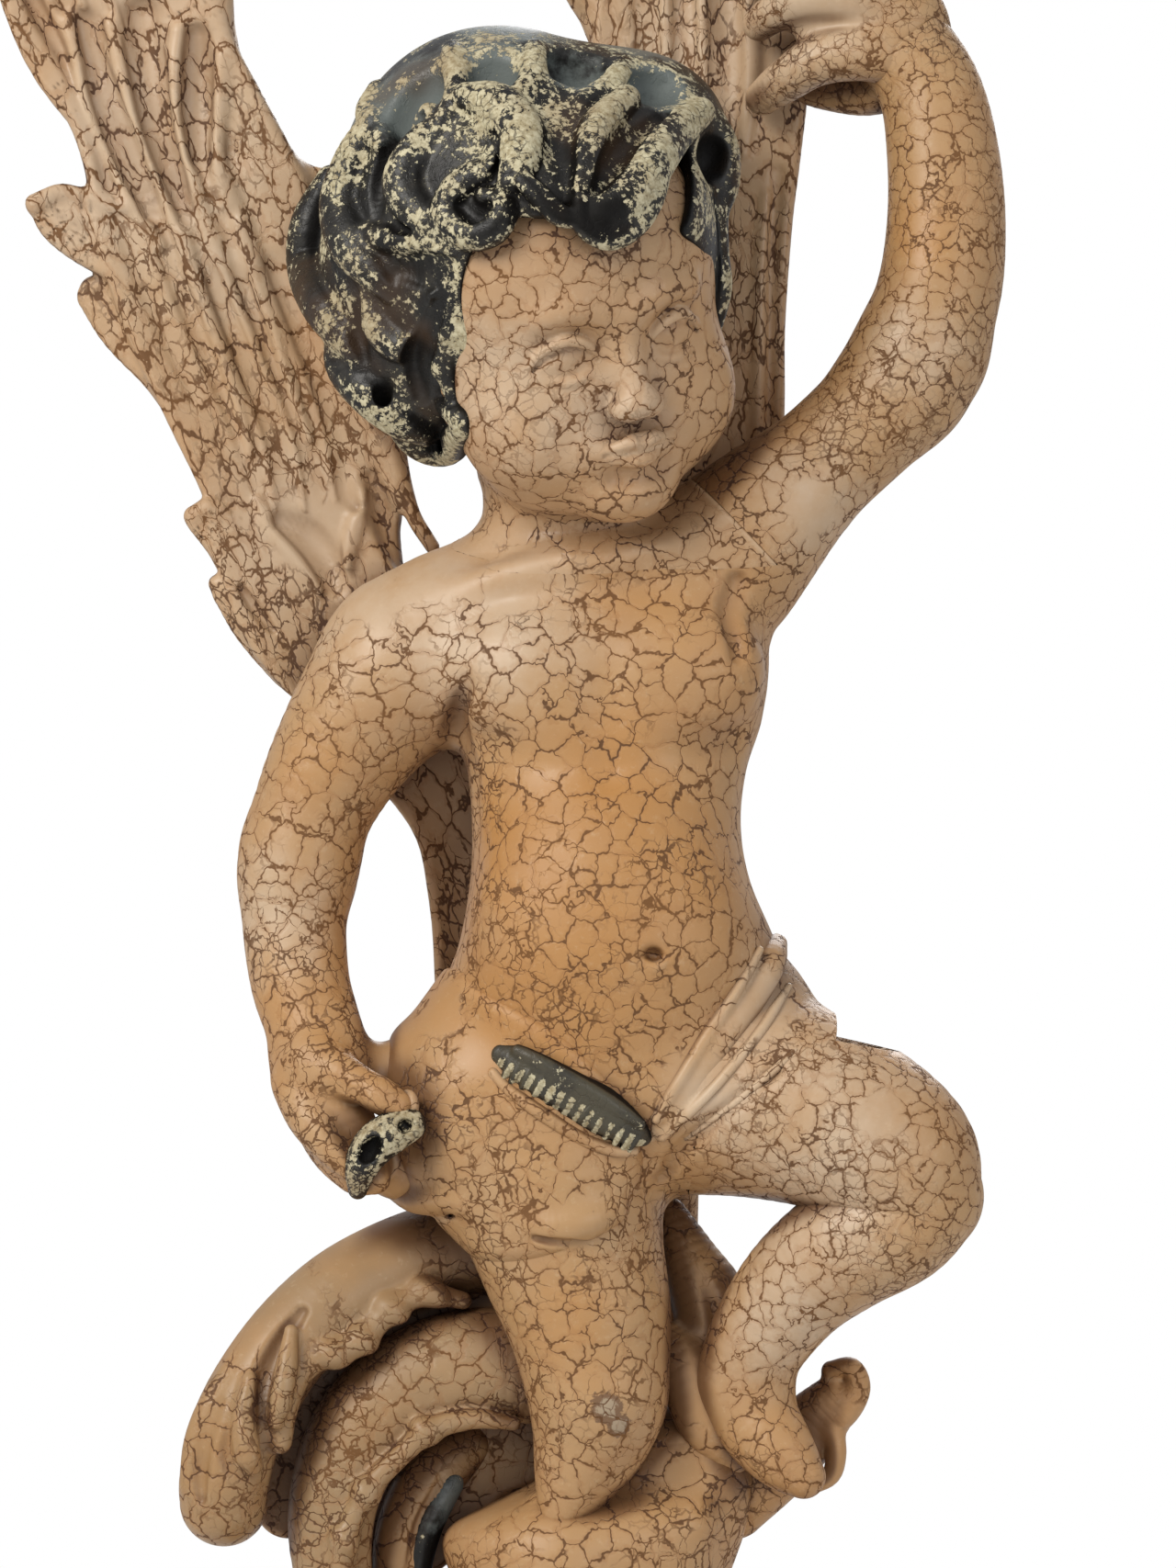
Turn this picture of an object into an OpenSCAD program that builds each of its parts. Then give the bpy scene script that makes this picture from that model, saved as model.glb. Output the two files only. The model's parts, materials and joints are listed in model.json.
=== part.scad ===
// Carved and painted putto standing among acanthus fronds on a turned, moulded base.
// Millimetres, +Z up, the figure faces -Y. The origin is the centre of the base's underside.

/* [Base] */
// Width of the plinth slab, left to right
plinth_w = 184; // [170:2:200]
// Depth of the plinth slab, front to back
plinth_d = 150; // [136:2:170]
// Thickness of the plinth slab
slab_h = 20; // [18:1:26]
// Height of the moulding above the slab
moulding_h = 10; // [8:1:12]
// Height of the turned socle
socle_h = 30; // [28:1:32]

/* [Joints] */
// Radius of the beech dowels in the large joints
dowel_r = 4; // [3:0.5:4.5]
// Radius of the dowels in the wrist and the scroll leaves
small_dowel_r = 2.5; // [2:0.5:3]
// Gap all round a dowel in its hole, filled with glue
glue_gap = 0.1; // [0.05:0.05:0.2]
// Radius of the tie rod up the middle of the base
rod_r = 4; // [3:0.5:5]

/* [Detail] */
// Sides of each carved cross-section
sides = 16; // [12:2:20]
// Steps between two stations of a carved piece
steps = 3; // [2:1:4]

/* [Hidden] */

felt_h = 2;
slab_top = felt_h + slab_h;
moulding_top = slab_top + moulding_h;
socle_top = moulding_top + socle_h;
back_plane = 26;      // the carved figure is flat behind this plane
trunk_back = 45;      // back face of the trunk
washer_r = 11;
washer_h = 1.6;
nut_flats = 13;
nut_h = 6.5;
nut_seat = felt_h + 10;   // top of the counterbore under the slab
counterbore_r = 13;
screw_r = 2;
screw_head_r = 4.2;
screw_l = 38;
far = 400;

flesh = "#c39a6c";
leaf = "#b9925f";
dark = "#3b3a33";
oak = "#8a6238";
steel = "#9a9a98";

// ---------------------------------------------------------------- smooth carved shapes

// A station is [x, y, z, half-width, half-depth].
function between(p0, p1, p2, p3, t) =
    0.5 * (2 * p1 + (p2 - p0) * t + (2 * p0 - 5 * p1 + 4 * p2 - p3) * t * t
           + (3 * p1 - p0 - 3 * p2 + p3) * t * t * t);

function smoothed(s, n) =
    let (last = len(s) - 1)
    [for (i = [0 : last - 1], j = [0 : n - 1])
        between(s[max(i - 1, 0)], s[i], s[i + 1], s[min(i + 2, last)], j / n), s[last]];

function unit(v) = v / norm(v);
function place(s) = [s[0], s[1], s[2]];
function along(c, i) = unit(place(c[min(i + 1, len(c) - 1)]) - place(c[max(i - 1, 0)]));
function depth_way(t) = unit([0, 1, 0] - t * t[1]);
function side_way(t) = cross(depth_way(t), t);

// One elliptical ring, moved by shift along the path and shrunk by share.
function ring(s, t, shift, share, n) =
    [for (k = [0 : n - 1])
        place(s) + t * shift + side_way(t) * s[3] * share * cos(360 * k / n)
        + depth_way(t) * s[4] * share * sin(360 * k / n)];

cap_angles = [72, 45, 20];   // where a round end is cut into rings
leaf_sides = 8;              // sides of small leaves and lobes
function cap_r(s) = min(s[3], s[4]);

function rings(c, round_start, round_end, n) =
    let (last = len(c) - 1, t0 = along(c, 0), t1 = along(c, last))
    concat(
        round_start
            ? [for (a = cap_angles) ring(c[0], t0, -cap_r(c[0]) * sin(a), cos(a), n)] : [],
        [for (i = [0 : last]) ring(c[i], along(c, i), 0, 1, n)],
        round_end
            ? [for (i = [len(cap_angles) - 1 : -1 : 0])
                ring(c[last], t1, cap_r(c[last]) * sin(cap_angles[i]), cos(cap_angles[i]), n)] : []);

// A closed skin through a smooth run of stations.
module limb(stations, round_start = true, round_end = true, n = sides, fine = steps) {
    r = rings(smoothed(stations, fine), round_start, round_end, n);
    last = len(r) - 1;
    points = [for (each_ring = r, p = each_ring) p];
    walls = [for (i = [0 : last - 1], k = [0 : n - 1])
        let (a = i * n + k, b = i * n + (k + 1) % n)
        each [[a, b + n, b], [a, a + n, b + n]]];
    first_cap = [for (k = [0 : n - 1]) k];
    last_cap = [for (k = [n - 1 : -1 : 0]) last * n + k];
    polyhedron(points, concat([first_cap], walls, [last_cap]));
}

// Everything inside becomes one closed mesh, because carved skins have no true curves.
module carved() { resize([0, 0, 0]) union() { children(); } }

// A pin or bore from a to b.
module peg(a, b, r) {
    d = b - a;
    translate(a)
        rotate([0, acos(d[2] / norm(d)), atan2(d[1], d[0])])
            cylinder(r = r, h = norm(d), $fn = 24);
}

module behind(y) { translate([-far, y, -far]) cube([2 * far, far, 2 * far]); }
module below(z) { translate([-far, -far, z - far]) cube([2 * far, 2 * far, far]); }

// ---------------------------------------------------------------- dowel and screw places

// Each dowel is [one end, other end].
neck_pin = [[0, 2, 356], [-4, -2, 416]];
raised_shoulder_pin = [[14, 4, 374], [62, 1, 406]];
lowered_shoulder_pin = [[-18, 3, 362], [-64, 1, 338]];
wrist_pin = [[94, 6, 500], [72, 10, 531]];
standing_hip_pin = [[-1, -2, 246], [-5, -8, 198]];
bent_hip_pin = [[20, -4, 248], [62, -18, 236]];
knee_pin = [[80, -26, 228], [80, -24, 202]];
hip_trim = [25, 226];   // the bent thigh is sawn off inside this X, below this Z
scroll_pins = [
    [[-14, 30, 206], [-46, 9, 194]],
    [[-10, 0, 160], [-38, 4, 163]],
    [[24, 8, 140], [54, 8, 152]]
];
// Each screw is where its head sits, [x, z]; it drives forward from the back.
frond_screw_places = [[-50, 358], [-58, 335], [22, 372]];
trunk_screw_places = [[0, 326], [0, 256]];

// ---------------------------------------------------------------- figure, as whole shapes

module torso_shape() {
    limb([[2, -1, 220, 26, 23], [5, -2, 238, 41, 35], [6, -4, 262, 43, 38], [5, -5, 284, 39, 38],
          [3.5, -2, 305, 37.5, 34], [4, -1, 326, 40, 33], [5, 0, 346, 43, 32], [2, 2, 362, 44, 29],
          [0, 3, 376, 33, 25], [0, 3, 386, 24, 21]], true, false);
}

module raised_arm_shape() {
    limb([[22, 3, 366, 22, 22], [42, 1, 388, 21, 20], [66, 0, 409, 17.5, 17.5], [90, 1, 433, 17, 17],
          [97, 3, 458, 16.5, 16], [97, 5, 482, 15.5, 15], [92, 7, 506, 14.5, 13.5], [82, 9, 524, 12.5, 11]],
         true, true);
}

module raised_hand_shape() {
    limb([[84, 8, 522, 11, 10], [75, 10, 530, 12.5, 10.5], [62, 13, 533, 15, 11], [51, 15, 527, 13, 8]],
         true, true);
}

module lowered_arm_shape() {
    limb([[-30, 2, 362, 20, 22], [-55, 0, 350, 20.5, 21], [-71, 1, 328, 18, 18], [-78, 1, 306, 15.5, 16],
          [-79.5, -3, 290, 15, 15], [-76, -8, 268, 14.3, 14], [-72, -13, 249, 15, 13],
          [-65, -20, 233, 17, 13], [-55, -24, 223, 13, 9]], true, true);
}

module standing_leg_shape() {
    limb([[-3, -6, 244, 28, 28], [-6, -9, 220, 28, 27], [-5, -10, 196, 24, 24], [0, -11, 174, 20.5, 21],
          [4, -12, 154, 17.5, 18], [1, -8, 138, 14, 15], [-7, -6, 124, 11, 13]], true, true);
    limb([[-5, 2, 120, 9, 9], [-12, -12, 117, 13, 8], [-18, -28, 113, 15, 6]], true, true);
}

module bent_leg_shape() {
    limb([[18, -4, 242, 32, 30], [40, -10, 239, 30, 29], [62, -18, 235, 26, 26], [80, -25, 225, 22, 23],
          [91, -28, 214, 17, 19]], true, true);
}

module bent_shin_shape() {
    limb([[91, -28, 214, 18, 19], [84, -26, 203, 20, 19.5], [70, -21, 192, 20.5, 20],
          [55, -15, 181, 16.5, 17], [43, -10, 168, 13.5, 14], [40, -9, 157, 13, 13]], true, true);
    limb([[39, -5, 162, 13, 13], [48, -12, 152, 12.5, 12], [57, -18, 143, 11, 8], [62, -21, 138, 10, 5]],
         true, true);
}

module head_shape() {
    limb([[6, -27, 392, 15, 12], [4, -22, 400, 26, 25], [-1, -18, 419, 33, 37], [-6, -16, 440, 37, 43],
          [-12, -15, 460, 40, 44], [-16, -15, 478, 40, 42], [-19, -14, 495, 34, 35],
          [-21, -14, 507, 21, 21], [-22, -14, 513, 8, 8]], true, true);
    limb([[0, 3, 372, 24, 21], [-2, 2, 392, 23, 22], [-5, 0, 412, 23, 23]], false, true);
}

module hair_shape() {
    difference() {
        limb([[-40, -8, 413, 8, 7], [-37, -8, 420, 20, 22], [-31, -10, 434, 37, 36],
              [-24, -12, 452, 52, 43], [-20, -13, 472, 58, 45], [-18, -14, 489, 56, 44],
              [-19, -14, 504, 46, 38], [-21, -14, 516, 31, 27], [-23, -14, 523, 13, 11],
              [-23, -14, 525, 6, 5]], true, true);
        face_opening();
    }
}

// The face looks down the figure's left side, so the hair opens there.
module face_opening() {
    translate([12, -30, 431]) rotate([0, -14, 25]) rotate([90, 0, 0])
        scale([0.78, 1, 1]) cylinder(r = 48, h = 90, center = true, $fn = 40);
}

// ---------------------------------------------------------------- cloth, as whole shapes

module band_shape() {
    limb([[57, -6, 276, 7, 8], [52, -22, 266, 8, 9], [40, -35, 252, 8, 9], [27, -42, 239, 8, 8],
          [15, -43, 228, 6, 6]], true, true);
}

module drape_shape() {
    limb([[-24, -2, 262, 22, 26], [-20, -8, 246, 33, 33], [-12, -11, 228, 38, 33], [-8, -12, 214, 34, 29],
          [-6, -13, 206, 29, 26]], true, true);
}

module hem_roll_shape() {
    limb([[-24, -34, 254, 4, 4], [-13, -42, 245, 6.5, 5], [0, -45.5, 236, 7, 5], [11, -45, 229, 4.5, 4]],
         true, true);
}

module hand_roll_shape() {
    limb([[-59, -27, 216, 4, 4], [-55, -33, 224, 5, 4.5], [-47, -35, 231, 4.5, 4]], true, true);
}

// ---------------------------------------------------------------- foliage, as whole shapes

module trunk_shape() {
    intersection() {
        limb([[8, 36, 96, 20, 16], [12, 36, 140, 22, 16], [14, 36, 190, 21, 16], [6, 36, 240, 26, 16],
              [0, 36, 290, 26, 16], [0, 36, 346, 27, 16], [0, 36, 356, 25, 16]], false, false);
        translate([-far, back_plane, -far]) cube([2 * far, trunk_back - back_plane, 2 * far]);
    }
}

module lobe(root, tip, w) {
    limb([[root[0], root[1], root[2], w, 4], [(root[0] + tip[0]) / 2, (root[1] + tip[1]) / 2,
          (root[2] + tip[2]) / 2, w * 0.85, 3.6], [tip[0], tip[1], tip[2], w * 0.4, 2.6]],
         false, true, leaf_sides, 2);
}

module left_frond_shape() {
    limb([[-24, 34, 226, 9, 7], [-35, 34, 258, 10, 7], [-34, 34, 290, 12, 7], [-44, 34, 330, 19, 7],
          [-66, 34, 372, 26, 7], [-77, 34, 402, 26.5, 7], [-89, 34, 434, 28, 7], [-102, 34, 468, 28, 7],
          [-114, 34, 502, 27, 7], [-128, 33, 534, 28, 7], [-143, 28, 564, 26, 7], [-157, 18, 583, 18, 6],
          [-166, 6, 588, 10, 5]], true, true);
    lobe([-112, 33, 466], [-149, 27, 482], 13);
    lobe([-106, 34, 442], [-136, 30, 456], 11);
    lobe([-90, 34, 386], [-107, 29, 397], 10);
    lobe([-82, 34, 368], [-100, 30, 375], 9);
    lobe([-100, 33, 536], [-90, 27, 566], 12);
}

module right_frond_shape() {
    limb([[22, 34, 356, 22, 7], [25, 34, 384, 24, 7], [27, 34, 420, 26, 7], [27, 34, 460, 27, 7],
          [26, 34, 500, 27, 7], [26, 34, 536, 27, 7], [30, 31, 566, 25, 7], [36, 24, 586, 19, 6],
          [40, 12, 594, 11, 5]], false, true);
    lobe([46, 33, 545], [66, 26, 568], 12);
    lobe([8, 33, 540], [-10, 27, 566], 12);
}

module outer_scroll_shape() {
    limb([[-22, 14, 196, 14, 14], [-38, 10, 196, 13.5, 14], [-55, 4, 193, 13.5, 13], [-71, -2, 184, 13.5, 12],
          [-85, -7, 169, 14, 12], [-95, -10, 150, 13.5, 11], [-100, -10, 134, 12, 10], [-101, -8, 126, 9, 8]],
         true, true);
}

module inner_scroll_shape() {
    limb([[-8, 4, 160, 12, 14], [-24, 5, 167, 15, 14], [-42, 5, 163, 16, 13], [-58, 3, 150, 14, 12],
          [-68, 1, 132, 12, 12], [-72, 0, 112, 11, 11], [-66, -1, 96, 9, 10], [-54, -2, 88, 8, 9],
          [-45, -2, 94, 6, 8]], true, true);
}

module tendril_shape() {
    limb([[-32, 16, 142, 8, 7], [-42, 14, 130, 7, 7], [-49, 12, 114, 6.5, 7], [-48, 10, 98, 5, 6]],
         true, true);
}

module foot_leaf_shape() {
    limb([[48, 8, 128, 12, 8], [58, 6, 142, 11, 8], [65, 4, 152, 9, 7.5], [68, 2, 155, 8, 7]], true, true);
    limb([[40, -4, 124, 13, 9], [49, -8, 129, 10, 8], [56, -10, 133, 5, 6]], true, true);
}

module console_shape() {
    limb([[2, 4, socle_top, 25, 22], [0, 4, 80, 27, 24], [-2, 4, 100, 36, 28], [2, 4, 118, 40, 30],
          [14, 6, 132, 36, 27], [22, 8, 141, 26, 20]], false, true);
}

// ---------------------------------------------------------------- nodes of the base

// The plinth's outline with its corners cut back in a hollow quarter.
module plinth_outline(inset) {
    w = plinth_w / 2 - inset;
    d = plinth_d / 2 - inset;
    difference() {
        square([2 * w, 2 * d], center = true);
        for (x = [-w, w], y = [-d, d])
            translate([x, y]) circle(r = 12, $fn = 48);
    }
}

module rod_bore(from, to, extra = 0.5) {
    translate([0, 4, from]) cylinder(r = rod_r + extra, h = to - from, $fn = 48);
}

module base_felt() {
    color("#2f4a34") linear_extrude(felt_h) plinth_outline(4);
}

module plinth_slab() {
    color(oak) difference() {
        translate([0, 0, felt_h]) linear_extrude(slab_h) plinth_outline(0);
        rod_bore(0, slab_top + 1);
        translate([0, 4, felt_h - 1]) cylinder(r = counterbore_r, h = nut_seat - felt_h + 1, $fn = 64);
    }
}

module plinth_moulding() {
    lower = moulding_h * 0.35;
    middle = moulding_h * 0.35;
    upper = moulding_h - lower - middle;
    color(oak) difference() {
        union() {
            translate([0, 0, slab_top]) linear_extrude(lower) plinth_outline(7);
            translate([0, 0, slab_top + lower]) linear_extrude(middle) plinth_outline(11);
            translate([0, 0, slab_top + lower + middle]) linear_extrude(upper) plinth_outline(9);
        }
        rod_bore(slab_top - 1, moulding_top + 1);
    }
}

module turned_socle() {
    h = socle_h;
    color(oak) translate([0, 4, moulding_top]) difference() {
        rotate_extrude($fn = 96) union() {
            square([52, h * 0.1]);
            translate([0, h * 0.1]) square([44, h * 0.16]);
            translate([44, h * 0.22]) circle(r = h * 0.12, $fn = 40);
            translate([0, h * 0.2]) square([44, h * 0.14]);
            translate([0, h * 0.3]) polygon(concat(
                [[0, 0]],
                [for (a = [0 : 10 : 90]) [42 - 12 * sin(a), h * 0.45 * (1 - cos(a))]],
                [[0, h * 0.45]]));
            translate([0, h * 0.72]) square([34, h * 0.28]);
            translate([34, h * 0.86]) circle(r = h * 0.12, $fn = 40);
        }
        translate([0, 0, -1]) cylinder(r = rod_r + 0.5, h = h + 2, $fn = 48);
    }
}

// A calyx of leaves that hides the joint between the socle and the console.
leaf_count = 8;
module collar_shape() {
    translate([0, 4, 0]) for (i = [0 : leaf_count - 1]) rotate(360 / leaf_count * (i + 0.5))
        limb([[25, 0, socle_top + 2, 11, 4], [32, 0, socle_top + 14, 13, 4], [39, 0, socle_top + 27, 11, 4],
              [46, 0, socle_top + 36, 5, 3]], false, true, leaf_sides, 2);
    translate([0, 4, socle_top]) cylinder(r = 34, h = 8, $fn = 48);
}

module leaf_collar() {
    color(leaf) carved() difference() {
        collar_shape();
        console_shape();
        inner_scroll_shape();
        tendril_shape();
        below(socle_top);
    }
}

module console_block() {
    color(leaf) difference() {
        carved() difference() {
            console_shape();
            below(socle_top);
            standing_leg_shape();
            bent_shin_shape();
        }
        rod_bore(socle_top - 1, 118, glue_gap);
        peg(scroll_pins[2][0], scroll_pins[2][1], small_dowel_r + glue_gap);
    }
}

module tie_rod() {
    color(steel) translate([0, 4, felt_h + 1.5]) cylinder(r = rod_r, h = 117 - felt_h - 1.5, $fn = 48);
}

module rod_washer() {
    color(steel) translate([0, 4, nut_seat - washer_h]) difference() {
        cylinder(r = washer_r, h = washer_h, $fn = 48);
        translate([0, 0, -1]) cylinder(r = rod_r + 0.2, h = washer_h + 2, $fn = 48);
    }
}

module rod_nut() {
    color(steel) translate([0, 4, nut_seat - washer_h - nut_h]) difference() {
        cylinder(r = nut_flats / sqrt(3), h = nut_h, $fn = 6);
        translate([0, 0, -1]) cylinder(r = rod_r + 0.05, h = nut_h + 2, $fn = 48);
    }
}

// ---------------------------------------------------------------- nodes of the foliage

module screw_holes(places) {
    for (p = places) {
        translate([p[0], trunk_back + 1, p[1]]) rotate([90, 0, 0])
            cylinder(r = screw_r + glue_gap, h = screw_l + 2, $fn = 24);
        translate([p[0], trunk_back + 1, p[1]]) rotate([90, 0, 0])
            cylinder(r = screw_head_r + glue_gap, h = 8, $fn = 24);
    }
}

module screws(places, head_y) {
    for (p = places) translate([p[0], head_y, p[1]]) rotate([90, 0, 0]) difference() {
        union() {
            cylinder(r = screw_r, h = screw_l - 4, $fn = 24);
            cylinder(r1 = screw_head_r, r2 = screw_r, h = 3, $fn = 24);
        }
        translate([-0.5, -10, -1]) cube([1, 20, 1.9]);
    }
}

module back_trunk() {
    color(leaf) difference() {
        carved() difference() {
            trunk_shape();
            console_shape();
            torso_shape();
            standing_leg_shape();
        }
        screw_holes(trunk_screw_places);
        peg(scroll_pins[0][0], scroll_pins[0][1], small_dowel_r + glue_gap);
    }
}

module left_frond() {
    color(leaf) difference() {
        carved() difference() {
            left_frond_shape();
            trunk_shape();
            flat_torso();
            lowered_arm_shape();
            hair_shape();
            head_shape();
        }
        screw_holes(frond_screw_places);
    }
}

module right_frond() {
    color(leaf) difference() {
        carved() difference() {
            right_frond_shape();
            trunk_shape();
            flat_torso();
            raised_arm_shape();
            raised_hand_shape();
            hair_shape();
            head_shape();
        }
        screw_holes(frond_screw_places);
    }
}

module outer_scroll_leaf() {
    color(leaf) difference() {
        carved() difference() {
            outer_scroll_shape();
            trunk_shape();
            standing_leg_shape();
            drape_shape();
            flat_torso();
        }
        peg(scroll_pins[0][0], scroll_pins[0][1], small_dowel_r + glue_gap);
    }
}

module inner_scroll_leaf() {
    color(leaf) difference() {
        carved() difference() {
            inner_scroll_shape();
            outer_scroll_shape();
            standing_leg_shape();
            console_shape();
            trunk_shape();
        }
        peg(scroll_pins[1][0], scroll_pins[1][1], small_dowel_r + glue_gap);
    }
}

module dark_tendril() {
    color(dark) carved() difference() {
        tendril_shape();
        inner_scroll_shape();
        console_shape();
        standing_leg_shape();
    }
}

module foot_leaf() {
    color(leaf) difference() {
        carved() difference() {
            foot_leaf_shape();
            bent_shin_shape();
            console_shape();
            trunk_shape();
        }
        peg(scroll_pins[2][0], scroll_pins[2][1], small_dowel_r + glue_gap);
    }
}

// ---------------------------------------------------------------- nodes of the figure

module flat_torso() {
    difference() {
        torso_shape();
        behind(back_plane);
    }
}

module torso_block() {
    color(flesh) difference() {
        carved() difference() {
            flat_torso();
            head_shape();
        }
        peg(neck_pin[0], neck_pin[1], dowel_r + glue_gap);
        peg(raised_shoulder_pin[0], raised_shoulder_pin[1], dowel_r + glue_gap);
        peg(lowered_shoulder_pin[0], lowered_shoulder_pin[1], dowel_r + glue_gap);
        peg(standing_hip_pin[0], standing_hip_pin[1], dowel_r + glue_gap);
        peg(bent_hip_pin[0], bent_hip_pin[1], dowel_r + glue_gap);
        screw_holes(frond_screw_places);
        screw_holes(trunk_screw_places);
    }
}

module head_block() {
    color(flesh) difference() {
        carved() difference() {
            head_shape();
            behind(back_plane + 6);
        }
        peg(neck_pin[0], neck_pin[1], dowel_r + glue_gap);
    }
}

module hair_relief() {
    color(dark) carved() difference() {
        hair_shape();
        head_shape();
        behind(back_plane + 6);
    }
}

module raised_arm() {
    color(flesh) difference() {
        carved() difference() {
            raised_arm_shape();
            torso_shape();
            head_shape();
            raised_hand_shape();
            behind(back_plane);
        }
        peg(raised_shoulder_pin[0], raised_shoulder_pin[1], dowel_r + glue_gap);
        peg(wrist_pin[0], wrist_pin[1], small_dowel_r + glue_gap);
    }
}

module raised_hand() {
    color(flesh) difference() {
        carved() raised_hand_shape();
        peg(wrist_pin[0], wrist_pin[1], small_dowel_r + glue_gap);
    }
}

module lowered_arm() {
    color(flesh) difference() {
        carved() difference() {
            lowered_arm_shape();
            torso_shape();
            head_shape();
            drape_shape();
            behind(back_plane);
        }
        peg(lowered_shoulder_pin[0], lowered_shoulder_pin[1], dowel_r + glue_gap);
        screw_holes(frond_screw_places);
    }
}

module standing_leg() {
    color(flesh) difference() {
        carved() difference() {
            standing_leg_shape();
            torso_shape();
            behind(back_plane);
        }
        peg(standing_hip_pin[0], standing_hip_pin[1], dowel_r + glue_gap);
        peg(scroll_pins[1][0], scroll_pins[1][1], small_dowel_r + glue_gap);
    }
}

module bent_thigh() {
    color(flesh) difference() {
        carved() difference() {
            bent_leg_shape();
            torso_shape();
            standing_leg_shape();
            drape_shape();
            knee_cut();
            translate([-far, -far, 0]) cube([far + hip_trim[0], 2 * far, hip_trim[1]]);
        }
        peg(bent_hip_pin[0], bent_hip_pin[1], dowel_r + glue_gap);
        peg(knee_pin[0], knee_pin[1], small_dowel_r + glue_gap);
    }
}

// The knee is jointed on a plane that slopes down towards the outside.
module knee_cut() {
    translate([84, -26, 214]) rotate([0, 20, 0]) translate([-60, -60, -120]) cube(120);
}

module bent_shin() {
    color(flesh) difference() {
        carved() intersection() {
            difference() {
                bent_shin_shape();
                standing_leg_shape();
            }
            union() {
                knee_cut();
                translate([0, -60, 100]) cube([75, 100, 90]);
            }
        }
        peg(knee_pin[0], knee_pin[1], small_dowel_r + glue_gap);
        peg(scroll_pins[2][0], scroll_pins[2][1], small_dowel_r + glue_gap);
    }
}

// ---------------------------------------------------------------- nodes of the cloth

module loincloth_band() {
    color(flesh) carved() difference() {
        band_shape();
        torso_shape();
        bent_leg_shape();
        drape_shape();
        standing_leg_shape();
    }
}

module loincloth_drape() {
    color(flesh) difference() {
        carved() difference() {
            drape_shape();
            torso_shape();
            standing_leg_shape();
            trunk_shape();
            left_frond_shape();
            behind(back_plane);
        }
        peg(scroll_pins[0][0], scroll_pins[0][1], small_dowel_r + glue_gap);
    }
}

module hem_roll() {
    color(dark) carved() difference() {
        hem_roll_shape();
        torso_shape();
        drape_shape();
        band_shape();
        bent_leg_shape();
        standing_leg_shape();
    }
}

module hand_roll() {
    color(dark) carved() difference() {
        hand_roll_shape();
        lowered_arm_shape();
        drape_shape();
    }
}

// ---------------------------------------------------------------- dowels and screws

module neck_dowel() { color(oak) peg(neck_pin[0], neck_pin[1], dowel_r); }
module raised_shoulder_dowel() {
    color(oak) peg(raised_shoulder_pin[0], raised_shoulder_pin[1], dowel_r);
}
module lowered_shoulder_dowel() {
    color(oak) peg(lowered_shoulder_pin[0], lowered_shoulder_pin[1], dowel_r);
}
module wrist_dowel() { color(oak) peg(wrist_pin[0], wrist_pin[1], small_dowel_r); }
module standing_hip_dowel() { color(oak) peg(standing_hip_pin[0], standing_hip_pin[1], dowel_r); }
module bent_hip_dowel() { color(oak) peg(bent_hip_pin[0], bent_hip_pin[1], dowel_r); }
module knee_dowel() { color(oak) peg(knee_pin[0], knee_pin[1], small_dowel_r); }
module scroll_dowels() { color(oak) for (p = scroll_pins) peg(p[0], p[1], small_dowel_r); }
module frond_screws() { color(steel) screws(frond_screw_places, 40); }
module trunk_screws() { color(steel) screws(trunk_screw_places, 44); }

base_felt();
plinth_slab();
plinth_moulding();
turned_socle();
leaf_collar();
console_block();
tie_rod();
rod_washer();
rod_nut();
back_trunk();
left_frond();
right_frond();
outer_scroll_leaf();
inner_scroll_leaf();
dark_tendril();
foot_leaf();
torso_block();
head_block();
hair_relief();
raised_arm();
raised_hand();
lowered_arm();
standing_leg();
bent_thigh();
bent_shin();
loincloth_band();
loincloth_drape();
hem_roll();
hand_roll();
neck_dowel();
raised_shoulder_dowel();
lowered_shoulder_dowel();
wrist_dowel();
standing_hip_dowel();
bent_hip_dowel();
knee_dowel();
scroll_dowels();
frond_screws();
trunk_screws();
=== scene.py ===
"""A carved, gessoed and painted putto among acanthus fronds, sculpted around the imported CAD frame.

Shapes are worked in millimetres in the CAD frame (+Z up, the figure faces -Y) and become meshes in metres.
Each carved piece is a distance field: shapes added to and cut from one another, then skinned.
"""

import json
import math

import bpy
import numpy as np
import openvdb
from mathutils import Matrix, Vector


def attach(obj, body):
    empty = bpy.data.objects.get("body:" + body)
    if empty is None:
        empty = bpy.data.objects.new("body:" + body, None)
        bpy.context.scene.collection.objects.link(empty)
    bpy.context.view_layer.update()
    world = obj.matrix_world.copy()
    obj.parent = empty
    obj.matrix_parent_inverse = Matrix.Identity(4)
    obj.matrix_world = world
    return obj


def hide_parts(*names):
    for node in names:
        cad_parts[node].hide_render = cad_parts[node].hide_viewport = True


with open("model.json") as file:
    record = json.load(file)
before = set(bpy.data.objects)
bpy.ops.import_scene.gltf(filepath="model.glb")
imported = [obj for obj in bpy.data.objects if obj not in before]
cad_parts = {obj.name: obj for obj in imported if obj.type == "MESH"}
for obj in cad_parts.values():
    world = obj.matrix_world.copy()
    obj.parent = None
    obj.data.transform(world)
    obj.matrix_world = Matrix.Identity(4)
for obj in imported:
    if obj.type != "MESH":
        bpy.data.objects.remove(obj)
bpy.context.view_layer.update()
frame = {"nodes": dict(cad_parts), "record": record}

MM = 0.001
COARSE = 1.0
FAR = 60.0                            # distance given to what is out of reach


# ------------------------------------------------------------------ clay: distance fields

def vec(*v):
    return np.array(v, np.float32)


def smooth_min(a, b, k):
    h = np.maximum(k - np.abs(a - b), 0.0) / k
    return np.minimum(a, b) - h * h * k * 0.25


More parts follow.
